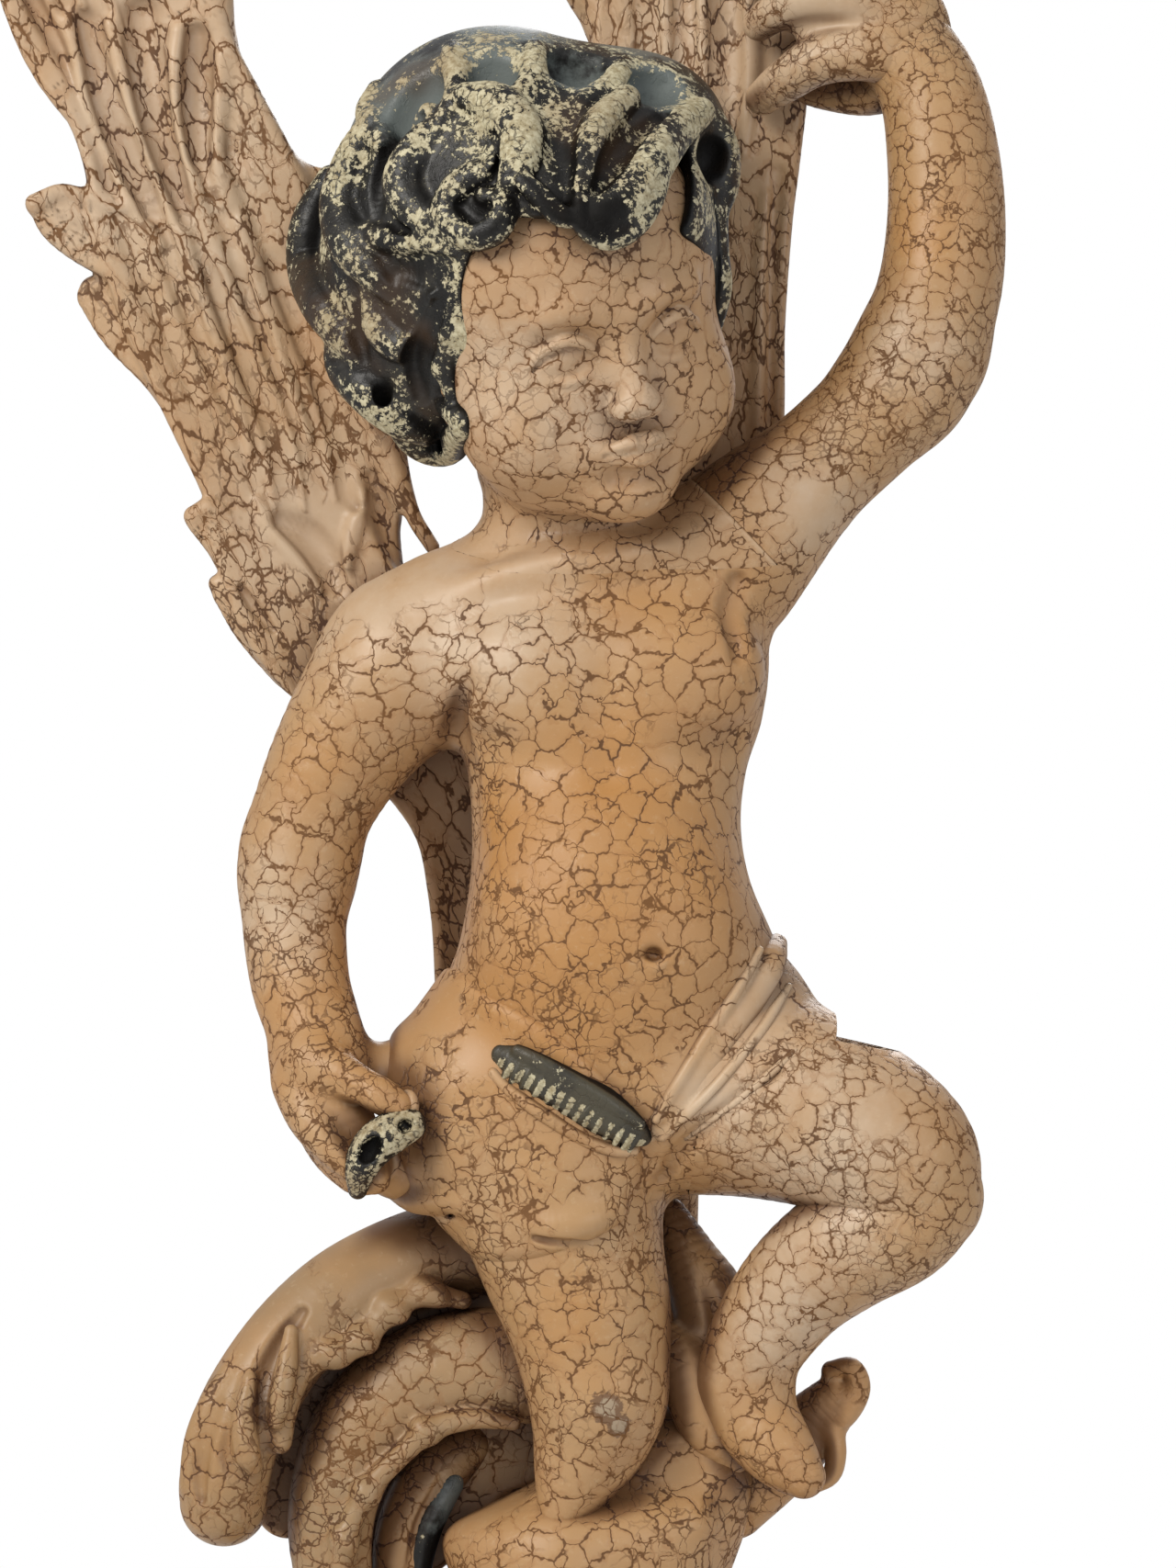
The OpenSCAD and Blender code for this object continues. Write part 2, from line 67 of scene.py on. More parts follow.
def smooth_curve(rows, per_span=6):
    """Points along a smooth curve through rows, which may hold sizes after x, y, z."""
    r = np.array(rows, float)
    padded = np.vstack([2 * r[0] - r[1], r, 2 * r[-1] - r[-2]])
    out = []
    for i in range(len(r) - 1):
        p0, p1, p2, p3 = padded[i:i + 4]
        for t in np.arange(per_span) / per_span:
            out.append(0.5 * (2 * p1 + (p2 - p0) * t + (2 * p0 - 5 * p1 + 4 * p2 - p3) * t * t
                              + (3 * p1 - p0 - 3 * p2 + p3) * t ** 3))
    out.append(r[-1])
    return np.array(out, np.float32)


def turn_matrix(x=0.0, y=0.0, z=0.0):
    """Turn by degrees about X, then Y, then Z."""
    m = (Matrix.Rotation(math.radians(z), 3, "Z") @ Matrix.Rotation(math.radians(y), 3, "Y")
         @ Matrix.Rotation(math.radians(x), 3, "X"))
    return np.array(m, np.float32)


class Egg:
    """An ellipsoid with its own turn."""
    def __init__(self, centre, radii, turn=(0, 0, 0)):
        self.c, self.r, self.m = vec(*centre), vec(*radii), turn_matrix(*turn)
        reach = np.sqrt(((self.m * self.r) ** 2).sum(1))
        self.low, self.high = self.c - reach, self.c + reach

    def distance(self, p):
        q = (p - self.c) @ self.m
        x, y, z = (q[..., i] / self.r[i] for i in range(3))
        k0 = np.sqrt(x * x + y * y + z * z)
        k1 = np.sqrt((x / self.r[0]) ** 2 + (y / self.r[1]) ** 2 + (z / self.r[2]) ** 2) + 1e-6
        return k0 * (k0 - 1.0) / k1


class Limb:
    """A round bar of changing radius through rows of (x, y, z, radius), flattened by depth along Y."""
    RUN, REACH = 4, 26.0   # pieces of bar looked at together, and how near a group must be to them

    def __init__(self, rows, depth=1.0, per_span=5):
        c = smooth_curve(rows, per_span)
        self.p, self.r = c[:, :3], np.maximum(c[:, 3], 0.2)
        self.depth = depth
        self.low = (self.p - self.r[:, None]).min(0)
        self.high = (self.p + self.r[:, None]).max(0)

    def distance(self, p):
        best = np.full(p.shape[:-1], FAR, np.float32)
        low, high = (p.min(1), p.max(1)) if p.ndim == 3 else (None, None)
        for i in range(0, len(self.p) - 1, self.RUN):
            part, r = self.p[i:i + self.RUN + 1], self.r[i:i + self.RUN + 1]
            near = slice(None)
            if low is not None:
                reach = r.max() + self.REACH
                near = np.all(low < part.max(0) + reach, axis=1) & np.all(high > part.min(0) - reach, axis=1)
                if not near.any():
                    continue
            best[near] = np.minimum(best[near], self.bars(p[near], part, r))
        return best * min(1.0, self.depth)

    def bars(self, p, ends, radii):
        deep = 1.0 / self.depth
        x, y, z = (np.ascontiguousarray(p[..., i]) for i in range(3))
        best = np.full(x.shape, FAR, np.float32)
        for a, b, ra, rb in zip(ends[:-1].tolist(), ends[1:].tolist(), radii[:-1].tolist(),
                                radii[1:].tolist()):
            bx, by, bz = b[0] - a[0], (b[1] - a[1]) * deep, b[2] - a[2]
            dx, dy, dz = x - a[0], (y - a[1]) * deep, z - a[2]
            t = np.clip((dx * bx + dy * by + dz * bz) / max(bx * bx + by * by + bz * bz, 1e-6), 0, 1)
            dx -= t * bx
            dy -= t * by
            dz -= t * bz
            best = np.minimum(best, np.sqrt(dx * dx + dy * dy + dz * dz) - (ra + (rb - ra) * t))
        return best


class Stack:
    """Elliptical slices up Z: rows of (z, centre x, half-width, centre y, half-depth)."""
    def __init__(self, rows, boxy=2.0):
        c = smooth_curve(rows, 8)
        self.t, self.boxy = c, boxy
        self.low = vec((c[:, 1] - c[:, 2]).min(), (c[:, 3] - c[:, 4]).min(), c[0, 0])
        self.high = vec((c[:, 1] + c[:, 2]).max(), (c[:, 3] + c[:, 4]).max(), c[-1, 0])

    def distance(self, p):
        z = p[..., 2]
        cx, a, cy, b = (np.interp(z, self.t[:, 0], self.t[:, i]).astype(np.float32) for i in (1, 2, 3, 4))
        x, y = np.abs(p[..., 0] - cx) / a, np.abs(p[..., 1] - cy) / b
        n = self.boxy
        k0 = (x ** n + y ** n) ** (1 / n) + 1e-6
        k1 = np.sqrt((x / a) ** 2 + (y / b) ** 2) + 1e-6
        flat = (k0 - 1.0) * np.sqrt(x * x + y * y) / k1
        over = np.maximum(self.t[0, 0] - z, z - self.t[-1, 0])
        return np.where(over > 0, np.sqrt(np.maximum(flat, 0) ** 2 + over ** 2), np.maximum(flat, over))


class Plate:
    """What lies behind every one of some planes, each (point, outward normal)."""
    def __init__(self, planes, low, high):
        self.planes = [(vec(*c), vec(*n) / np.linalg.norm(n)) for c, n in planes]
        self.low, self.high = vec(*low), vec(*high)

    def distance(self, p):
        return np.max([(p - c) @ n for c, n in self.planes], axis=0)


class Leaf:
    """A flat blade seen from the front: rows of (x, z, half-width, y, half-thickness)."""
    def __init__(self, rows, edge=2.5, dish=0.0):
        c = smooth_curve(rows, 5)
        self.c, self.w, self.y, self.h = c[:, :2], c[:, 2], c[:, 3], c[:, 4]
        self.edge, self.dish = edge, dish
        h = self.h + abs(dish)
        self.low = vec((c[:, 0] - self.w).min(), (self.y - h).min(), (c[:, 1] - self.w).min())
        self.high = vec((c[:, 0] + self.w).max(), (self.y + h).max(), (c[:, 1] + self.w).max())

    def distance(self, p):
        x, z = p[..., 0], p[..., 2]
        side = np.full(x.shape, 1e9, np.float32)
        across, y, h = np.zeros_like(side), np.zeros_like(side), np.zeros_like(side)
        for i in range(len(self.c) - 1):
            a, ba = self.c[i], self.c[i + 1] - self.c[i]
            px, pz = x - a[0], z - a[1]
            t = np.clip((px * ba[0] + pz * ba[1]) / max(float(ba @ ba), 1e-6), 0, 1)
            away = np.sqrt((px - t * ba[0]) ** 2 + (pz - t * ba[1]) ** 2)
            w = self.w[i] + (self.w[i + 1] - self.w[i]) * t
            near = away - w < side
            side = np.where(near, away - w, side)
            across = np.where(near, away / w, across)
            y = np.where(near, self.y[i] + (self.y[i + 1] - self.y[i]) * t, y)
            h = np.where(near, self.h[i] + (self.h[i + 1] - self.h[i]) * t, h)
        e = self.edge
        deep = np.abs(p[..., 1] - y + self.dish * np.minimum(across, 1.0) ** 2) - h + e
        side = side + e
        return np.sqrt(np.maximum(side, 0) ** 2 + np.maximum(deep, 0) ** 2) + np.minimum(np.maximum(side,
                                                                                                    deep),
                                                                                                    0) - e


class Thickened:
    """Clay with a skin of some thickness put on."""
    def __init__(self, clay, amount, low, high):
        self.clay, self.amount, self.low, self.high = clay, amount, vec(*low), vec(*high)

    def distance(self, groups):
        return self.clay.distance(groups, band=12.0) - self.amount


class Clay:
    """Shapes added and cut in order. Points come in groups of neighbours, so that far shapes are skipped."""
    def __init__(self):
        self.steps = []

    def add(self, shape, k=4.0):
        self.steps.append((1, shape, k))
        return self

    def cut(self, shape, k=1.5):
        self.steps.append((-1, shape, k))
        return self

    def keep(self, shape, k=1.5):
        """Keeps only what is inside shape."""
        self.steps.append((0, shape, k))
        return self

    @property
    def low(self):
        return np.min([s.low for sign, s, _ in self.steps if sign > 0], axis=0)

    @property
    def high(self):
        return np.max([s.high for sign, s, _ in self.steps if sign > 0], axis=0)

    def distance(self, groups, band=5.0):
        low, high = groups.min(1), groups.max(1)
        d = np.full(groups.shape[:2], FAR, np.float32)
        for sign, shape, k in self.steps:
            if sign == 0:
                d = -smooth_min(-d, -shape.distance(groups), k)
                continue
            reach = band + k
            near = np.all(low < shape.high + reach, axis=1) & np.all(high > shape.low - reach, axis=1)
            if not near.any():
                continue
            s = shape.distance(groups[near])
            d[near] = smooth_min(d[near], s, k) if sign > 0 else -smooth_min(-d[near], s, k)
        return d


class Posed:
    """Clay made upright at the origin, then turned and set in place."""
    def __init__(self, clay, centre, turn, size=1.0):
        self.clay, self.c, self.m, self.size = clay, vec(*centre), turn_matrix(*turn), size
        corners = np.array([[x, y, z] for x in (clay.low[0], clay.high[0]) for y in (clay.low[1],
                                                                                     clay.high[1])
                            for z in (clay.low[2], clay.high[2])], np.float32) * size
        corners = corners @ self.m.T + self.c
        self.low, self.high = corners.min(0), corners.max(0)

    def distance(self, groups):
        return self.clay.distance((groups - self.c) @ self.m / self.size, band=9.0) * self.size


def in_groups(points, size=128):
    """Points in groups of neighbours, padded with the last point."""
    n = -(-len(points) // size)
    padded = np.vstack([points, np.repeat(points[-1:], n * size - len(points), axis=0)])
    return padded.reshape(n, size, 3)


def at_points(clay, points):
    return clay.distance(in_groups(points)).reshape(-1)[:len(points)]


def laid_on(clay, rows, sink=0.0, start=-90.0, stop=44.0):
    """Rows of (x, z, ...) given the y of the clay's front there, sunk in by sink: (x, y, z, ...)."""
    y = np.arange(start, stop, 1.0, dtype=np.float32)
    out, last = [], None
    for x, z, *rest in rows:
        line = np.stack([np.full_like(y, x), y, np.full_like(y, z)], -1)
        hit = np.nonzero(at_points(clay, line) < 0)[0]
        if len(hit):
            last = float(y[hit[0]])
        out.append((x, (last if last is not None else 0.0) + sink, z, *rest))
    return out


class Region:
    """The part of space a piece holds: inside all keep planes and outside every drop region."""
    def __init__(self, keep=(), drop=()):
        self.planes = [(vec(*c), vec(*n) / np.linalg.norm(n)) for c, n in keep]
        self.drop = list(drop)

    def distance(self, p):
        """Signed distance, below 0 inside, and the outward direction there."""
        d = np.full(p.shape[:-1], -FAR * 10, np.float32)
        way = np.zeros(p.shape, np.float32)
        for c, n in self.planes:
            e = (p - c) @ n
            m = e > d
            d, way = np.where(m, e, d), np.where(m[..., None], n, way)
        for other in self.drop:
            e, w = other.distance(p)
            m = -e > d
            d, way = np.where(m, -e, d), np.where(m[..., None], -w, way)
        return d, way


EVERYWHERE = Region()
BLOCK = 8


def skin(clay, voxel, region=EVERYWHERE, low=None, high=None):
    """The surface of clay inside region: vertices, outward normals and quads, in mm."""
    h = voxel * COARSE
    low = np.array(clay.low if low is None else low, np.float32) - 2.5 * h
    high = np.array(clay.high if high is None else high, np.float32) + 2.5 * h
    n = np.ceil((high - low) / (h * BLOCK)).astype(int)
    corner = np.stack(np.meshgrid(*[np.arange(k) for k in n], indexing="ij"), -1).reshape(-1, 3)
    side = h * BLOCK
    middles = (low + (corner + 0.5) * side).astype(np.float32)
    rough = np.concatenate([clay.distance(middles[i:i + 4096, None, :], band=side + 4.0)[:, 0]
                            for i in range(0, len(middles), 4096)])
    outside, _ = region.distance(middles)
    live = np.nonzero((np.abs(rough) < side * 1.15 + 1.0) & (outside < side))[0]
    grid = np.empty((len(corner), BLOCK, BLOCK, BLOCK), np.float32)
    grid[:] = np.where(rough < 0, -2 * h, 2 * h)[:, None, None, None]
    cell = np.stack(np.meshgrid(*[np.arange(BLOCK)] * 3, indexing="ij"), -1).reshape(-1, 3) * h
    for i in range(0, len(live), 1024):
        part = live[i:i + 1024]
        points = (low + corner[part][:, None, :] * side + cell).astype(np.float32)
        grid[part] = clay.distance(points).reshape(-1, BLOCK, BLOCK, BLOCK)
    grid = grid.reshape(*n, BLOCK, BLOCK, BLOCK).transpose(0, 3, 1, 4, 2, 5).reshape(*(n * BLOCK))
    volume = openvdb.FloatGrid(2 * h)
    volume.copyFromArray(np.clip(grid, -2 * h, 2 * h), ijk=(0, 0, 0), tolerance=0.0)
    p, quads = volume.convertToQuads(0.0)
    p, quads = low + p.astype(np.float32) * h, quads.astype(np.int64)
    # keep the faces inside the region
    reach, _ = region.distance(p)
    quads = quads[reach[quads].mean(1) <= 0]
    used = np.unique(quads)
    renumber = np.full(len(p), -1)
    renumber[used] = np.arange(len(used))
    p, quads = p[used], renumber[quads]
    for _ in range(2):
        p, normal = settle(clay, p)
    p = close_on(region, p, quads, h)
    return p, normal, quads


def settle(clay, p):
    """Moves points onto the exact surface, and gives its outward normals."""
    e = 0.2
    d = at_points(clay, p)
    g = np.stack([at_points(clay, p + vec(*(e * (np.arange(3) == i)))) - d for i in range(3)], -1) / e
    length = np.linalg.norm(g, axis=1, keepdims=True) + 1e-6
    step = np.clip(d[:, None] / np.maximum(length, 0.3), -0.6, 0.6)
    return p - step * g / length, g / length


def rim_edges(quads):
    """Edges that only one face uses, in its direction."""
    e = np.concatenate([quads[:, [i, (i + 1) % 4]] for i in range(4)])
    key = np.sort(e, axis=1)
    order = np.lexsort((key[:, 1], key[:, 0]))
    k = key[order]
    same = np.all(k[1:] == k[:-1], axis=1)
    lone = np.ones(len(k), bool)
    lone[1:][same] = False
    lone[:-1][same] = False
    return e[order[lone]]


def close_on(region, p, quads, h):
    """Moves the open rim's points onto the region's own planes."""
    rim = np.unique(rim_edges(quads))
    if len(rim):
        d, way = region.distance(p[rim])
        p[rim] -= np.clip(d, -2 * h, 2 * h)[:, None] * way
    return p


def loops(edges):
    after = {int(a): int(b) for a, b in edges}
    while after:
        start = next(iter(after))
        run, here = [start], after.pop(start)
        while here != start and here in after:
            run.append(here)
            here = after.pop(here)
        if here == start and len(run) > 2:
            yield run


# ------------------------------------------------------------------ surroundings, for the grime and painted shade in hollows

class Surround:
    """A coarse grid of distances to the whole object."""
    def __init__(self, clays, low, high, step=3.0):
        self.low, self.step = vec(*low), step
        n = np.ceil((vec(*high) - self.low) / (step * 4)).astype(int)
        corner = np.stack(np.meshgrid(*[np.arange(k) for k in n], indexing="ij"), -1).reshape(-1, 1, 3)
        cell = np.stack(np.meshgrid(*[np.arange(4)] * 3, indexing="ij"), -1).reshape(1, -1, 3)
        groups = (self.low + (corner * 4 + cell) * step).astype(np.float32)
        d = np.full(groups.shape[:2], FAR, np.float32)
        for clay in clays:
            for i in range(0, len(groups), 2048):
                d[i:i + 2048] = np.minimum(d[i:i + 2048], clay.distance(groups[i:i + 2048], band=16.0))
        self.d = d.reshape(*n, 4, 4, 4).transpose(0, 3, 1, 4, 2, 5).reshape(*(n * 4))

    def at(self, p):
        q = np.clip((p - self.low) / self.step, 0, np.array(self.d.shape) - 1.001)
        i = q.astype(int)
        f = (q - i).astype(np.float32)
        total = np.zeros(len(p), np.float32)
        for dx in (0, 1):
            for dy in (0, 1):
                for dz in (0, 1):
                    w = (np.abs(1 - dx - f[:, 0]) * np.abs(1 - dy - f[:, 1]) * np.abs(1 - dz - f[:, 2]))
                    total += w * self.d[i[:, 0] + dx, i[:, 1] + dy, i[:, 2] + dz]
        return total


SURROUND = None


def openness(p, normal, reaches=(6.0, 14.0)):
    """1 where nothing is near in front of the surface, down to 0 in a deep hollow."""
    out = np.ones(len(p), np.float32)
    for reach in reaches:
        out = np.minimum(out, np.clip(SURROUND.at(p + normal * reach) / reach, 0, 1))
    return out


# ------------------------------------------------------------------ pieces

def add_values(mesh, name, values):
    layer = mesh.attributes.new(name, "FLOAT", "POINT")
    layer.data.foreach_set("value", np.ascontiguousarray(values, np.float32))


def piece(name, p, normal, faces, material, nodes, slot, caps=(), **values):
    """A mesh object from points in mm, standing for CAD nodes and riding on the one body."""
    mesh = bpy.data.meshes.new(name)
    p = np.asarray(p, np.float32)
    cap_faces, extra, facing = [], [], []
    for run in caps:
        extra.append(p[run].mean(0))
        facing.append(-normal[run].mean(0) + vec(0, 0, 1e-3))
        centre = len(p) + len(extra) - 1
        cap_faces += [(run[i], run[i - 1], centre) for i in range(len(run))]
    if extra:
        p, normal = np.vstack([p, extra]), np.vstack([normal, facing])
        values = {k: np.concatenate([v, np.full(len(extra), v.mean())]) for k, v in values.items()}
    sizes = np.array([len(faces[0])] * len(faces) + [3] * len(cap_faces), np.int32)
    corners = np.concatenate([np.asarray(faces).reshape(-1), np.array(cap_faces, int).reshape(-1)])
    mesh.vertices.add(len(p))
    mesh.vertices.foreach_set("co", (p * MM).astype(np.float32).reshape(-1))
    mesh.loops.add(len(corners))
    mesh.loops.foreach_set("vertex_index", corners.astype(np.int32))
    mesh.polygons.add(len(sizes))
    mesh.polygons.foreach_set("loop_start", np.concatenate([[0], np.cumsum(sizes)[:-1]]).astype(np.int32))
    mesh.update(calc_edges=True)
    mesh.validate()
    smooth = np.ones(len(sizes), bool)
    smooth[len(faces):] = False
    mesh.polygons.foreach_set("use_smooth", smooth)
    if len(mesh.vertices) == len(normal):
        mesh.normals_split_custom_set_from_vertices(normal / np.linalg.norm(normal, axis=1, keepdims=True))
    for key, v in values.items():
        add_values(mesh, key, v)
    obj = bpy.data.objects.new(name, mesh)
    bpy.context.scene.collection.objects.link(obj)
    mesh.materials.append(material)
    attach(obj, "root")
    if nodes:
        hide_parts(*nodes)
    return obj


# places and radii of what the paint does: flaked to cream gesso, hardly cracked (slate where it is dark),
# lighter in patches as painted highlight, tinted ochre
FLAKED = [((-14, -60, 497), 15), ((9, -58, 500), 12), ((6, -60, 478), 8), ((-29, -56, 480), 8),
          ((-62, -30, 492), 12), ((-36, -40, 514), 7), ((-14, -44, 516), 8), ((8, -42, 511), 7),
          ((-45, -46, 468), 8), ((-42, -36, 413), 6), ((-70, -24, 470), 8), ((32, -40, 504), 7),
          ((-66, -30, 452), 7), ((-50, -38, 230), 8), ((-60, -36, 219), 6)]
CHIPPED = [((5, -32, 157), 4.2), ((8, -31, 152), 3.2), ((88, -40, 219), 2.6), ((0, -36, 208), 3.0)]
CALM = [((-55, -8, 378), 18), ((-36, -12, 382), 16), ((-20, -18, 378), 12), ((-76, 26, 392), 13),
        ((-66, 26, 400), 9), ((-50, -12, 250), 15), ((-40, -22, 262), 10), ((-28, -34, 252), 8),
        ((-60, -12, 200), 20), ((-84, -10, 182), 16), ((-30, 0, 205), 12), ((46, -28, 262), 12),
        ((30, -38, 244), 10), ((-2, -38, 207), 8), ((60, -18, 398), 9), ((24, 12, 180), 20),
        ((34, -8, 158), 14), ((70, 0, 142), 16), ((-62, -26, 238), 10), ((-78, -12, 262), 9),
        ((46, 20, 520), 12), ((66, 2, 538), 12), ((-30, -4, 130), 14), ((-42, -46, 246), 10),
        ((78, -46, 236), 8), ((-46, -36, 506), 15), ((-25, -40, 512), 11), ((-3, -42, 514), 10),
        ((19, -38, 510), 10), ((-60, -24, 482), 11), ((-58, -16, 500), 12), ((-20, -20, 524), 16),
        ((14, -16, 520), 12)]
PAINTED_HIGHLIGHT_SPOTS = [((-56, -10, 376), 24), ((-24, -30, 366), 18), ((-24, -52, 432), 15), ((12, -56, 424), 12),
        ((-4, -62, 410), 10), ((66, -44, 238), 20), ((58, -36, 206), 18), ((48, -30, 176), 14),
        ((-86, -16, 290), 14), ((-120, 26, 520), 32), ((-140, 26, 482), 14), ((-100, 26, 470), 16),
        ((-82, 26, 395), 18), ((60, 2, 536), 18), ((30, 26, 520), 22), ((46, -24, 262), 12),
        ((32, -38, 240), 8), ((60, -18, 400), 14), ((88, -14, 440), 12)]
OCHRE = [((2, -44, 280), 26), ((-14, -40, 262), 14), ((8, -40, 326), 18), ((-28, -30, 312), 14),
         ((-76, -26, 330), 12), ((-66, 26, 446), 14), ((-62, 26, 372), 10), ((-6, -40, 178), 14),
         ((-60, -10, 150), 12), ((90, -10, 470), 9), ((-92, -20, 136), 12), ((30, -30, 300), 12)]


def carve(name, clay, voxel, material, nodes, slot="carved_paint", region=EVERYWHERE, low=None, high=None,
          fine=2.2, crest_reach=2.5):
    """Skins clay, measures its hollows and crests, and makes the piece."""
    p, normal, quads = skin(clay, voxel, region, low, high)
    caps = list(loops(rim_edges(quads)))
    near = np.clip(at_points(clay, p + normal * fine) / fine, 0, 1)
    crest = np.clip(1 + at_points(clay, p - normal * crest_reach) / crest_reach, 0, 1)
    return piece(name, p, normal, quads, material, nodes, slot, caps,
                 hollow=1 - np.minimum(near, openness(p, normal)), crest=crest,
                 calm=np.zeros(len(p), np.float32) if name == "hem_roll" else spots(p, CALM, 1.4),
                 flaked=bars(p) if name == "hem_roll" else spots(p, FLAKED, 1.4), pale=tint(p, PAINTED_HIGHLIGHT_SPOTS),
                 ochre=tint(p, OCHRE), chip=spots(p, CHIPPED, 1.0))


def bars(p):
    """Bars across the lower half of the hem roll, bare of paint."""
    along = p @ vec(0.87, 0, -0.5)
    below = smooth_step((vec(0, 0, 1) @ p.T - np.interp(p[:, 0], [r[0] for r in HEM_LINE],
                                                        [r[1] for r in HEM_LINE])) / -2.0)
    return (1.8 * smooth_step(0.5 + 0.9 * np.sin(along * 2 * math.pi / 3.1)) * below).astype(np.float32)


def smooth_step(t):
    t = np.clip(t, 0, 1)
    return t * t * (3 - 2 * t)


def spots(p, places, gain):
    out = np.zeros(len(p), np.float32)
    for place, radius in places:
        out = np.maximum(out, gain * np.exp(-(((p - vec(*place)) / radius) ** 2).sum(1)))
    return np.minimum(out, 1)


def tint(p, places):
    out = np.zeros(len(p), np.float32)
    for place, radius in places:
        out += np.exp(-(((p - vec(*place)) / (radius * 1.25)) ** 2).sum(1))
    return (1 - np.exp(-out)).astype(np.float32)


# ------------------------------------------------------------------ materials

class Tree:
    """A material's nodes, made by short calls."""
    def __init__(self, name):
        self.material = bpy.data.materials.new(name)
        self.material.use_nodes = True
        self.nodes, self.links = self.material.node_tree.nodes, self.material.node_tree.links
        self.nodes.clear()
        self.shader = self.nodes.new("ShaderNodeBsdfPrincipled")
        out = self.nodes.new("ShaderNodeOutputMaterial")
        self.links.new(self.shader.outputs[0], out.inputs[0])

    def put(self, socket, value):
        if isinstance(value, bpy.types.NodeSocket):
            self.links.new(value, socket)
        else:
            socket.default_value = value

    def new(self, kind, out=0, props=None, **inputs):
        n = self.nodes.new("ShaderNode" + kind)
        for key, value in (props or {}).items():
            setattr(n, key, value)
        for key, value in inputs.items():
            self.put(n.inputs[int(key[1:]) if key[0] == "i" and key[1:].isdigit() else key], value)
        return n.outputs[out]

    def math(self, op, a, b=0.0, clamp=False):
        return self.new("Math", props={"operation": op, "use_clamp": clamp}, i0=a, i1=b)

    def mix(self, share, a, b, how="MIX"):
        n = self.nodes.new("ShaderNodeMix")
        n.data_type, n.blend_type = "RGBA", how
        self.put(n.inputs[0], share)
        self.put(n.inputs[6], a)
        self.put(n.inputs[7], b)
        return n.outputs[2]

    def ramp(self, value, low, high, to_low=0.0, to_high=1.0):
        """Value moved smoothly from low..high to to_low..to_high."""
        return self.new("MapRange", props={"interpolation_type": "SMOOTHSTEP"}, i0=value, i1=low, i2=high,
                        i3=to_low, i4=to_high)

    def noise(self, where, scale, detail=3.0, rough=0.55, out=0):
        return self.new("TexNoise", out=out, Vector=where, Scale=scale, Detail=detail, Roughness=rough)

    def attribute(self, name):
        return self.new("Attribute", out=2, props={"attribute_name": name})


def srgb(r, g, b):
    """An 8-bit screen colour as a linear one."""
    return tuple((c / 255 / 12.92 if c <= 10 else ((c / 255 + 0.055) / 1.055) ** 2.4) for c in (r, g,
                                                                                                b)) + (1.0,)


def edge_distance(t, where, cell, wander):
    """Distance to the nearest crack line in mm, on a web of cells with ragged walls."""
    shift = t.new("VectorMath", props={"operation": "SUBTRACT"},
                  i0=t.noise(where, 900 / cell, 3.0, 0.62, out=1), i1=(0.5, 0.5, 0.5))
    moved = t.new("VectorMath", props={"operation": "MULTIPLY_ADD"}, i0=shift,
                  i1=(cell * wander * MM * 2,) * 3,
                  i2=where)
    edge = t.new("TexVoronoi", props={"feature": "DISTANCE_TO_EDGE"}, Vector=moved, Scale=1000 / cell)
    return t.math("MULTIPLY", edge, cell)


def crack_distance(t, here, grain, cell, wander=0.55):
    """The same, corrected where a web wall lies along the surface, so that lines keep their width."""
    normal = t.new("NewGeometry", out=1)
    lifted = t.new("VectorMath", props={"operation": "MULTIPLY_ADD"}, i0=normal, i1=(0.3 * MM,) * 3, i2=here)
    near, far = edge_distance(t, grain(here), cell, wander), edge_distance(t, grain(lifted), cell, wander)
    slope = t.math("DIVIDE", t.math("SUBTRACT", far, near), 0.3)
    share = t.math("MAXIMUM", t.math("SUBTRACT", 1.0, t.math("MULTIPLY", slope, slope)), 0.05)
    return t.math("DIVIDE", near, t.math("SQRT", share))


def line(t, distance, width):
    """1 on the line, 0 beyond its half width."""
    return t.math("SUBTRACT", 1.0, t.new("MapRange", props={"interpolation_type": "SMOOTHSTEP"}, i0=distance,
                                          i1=t.math("MULTIPLY", width, 0.35), i2=width))


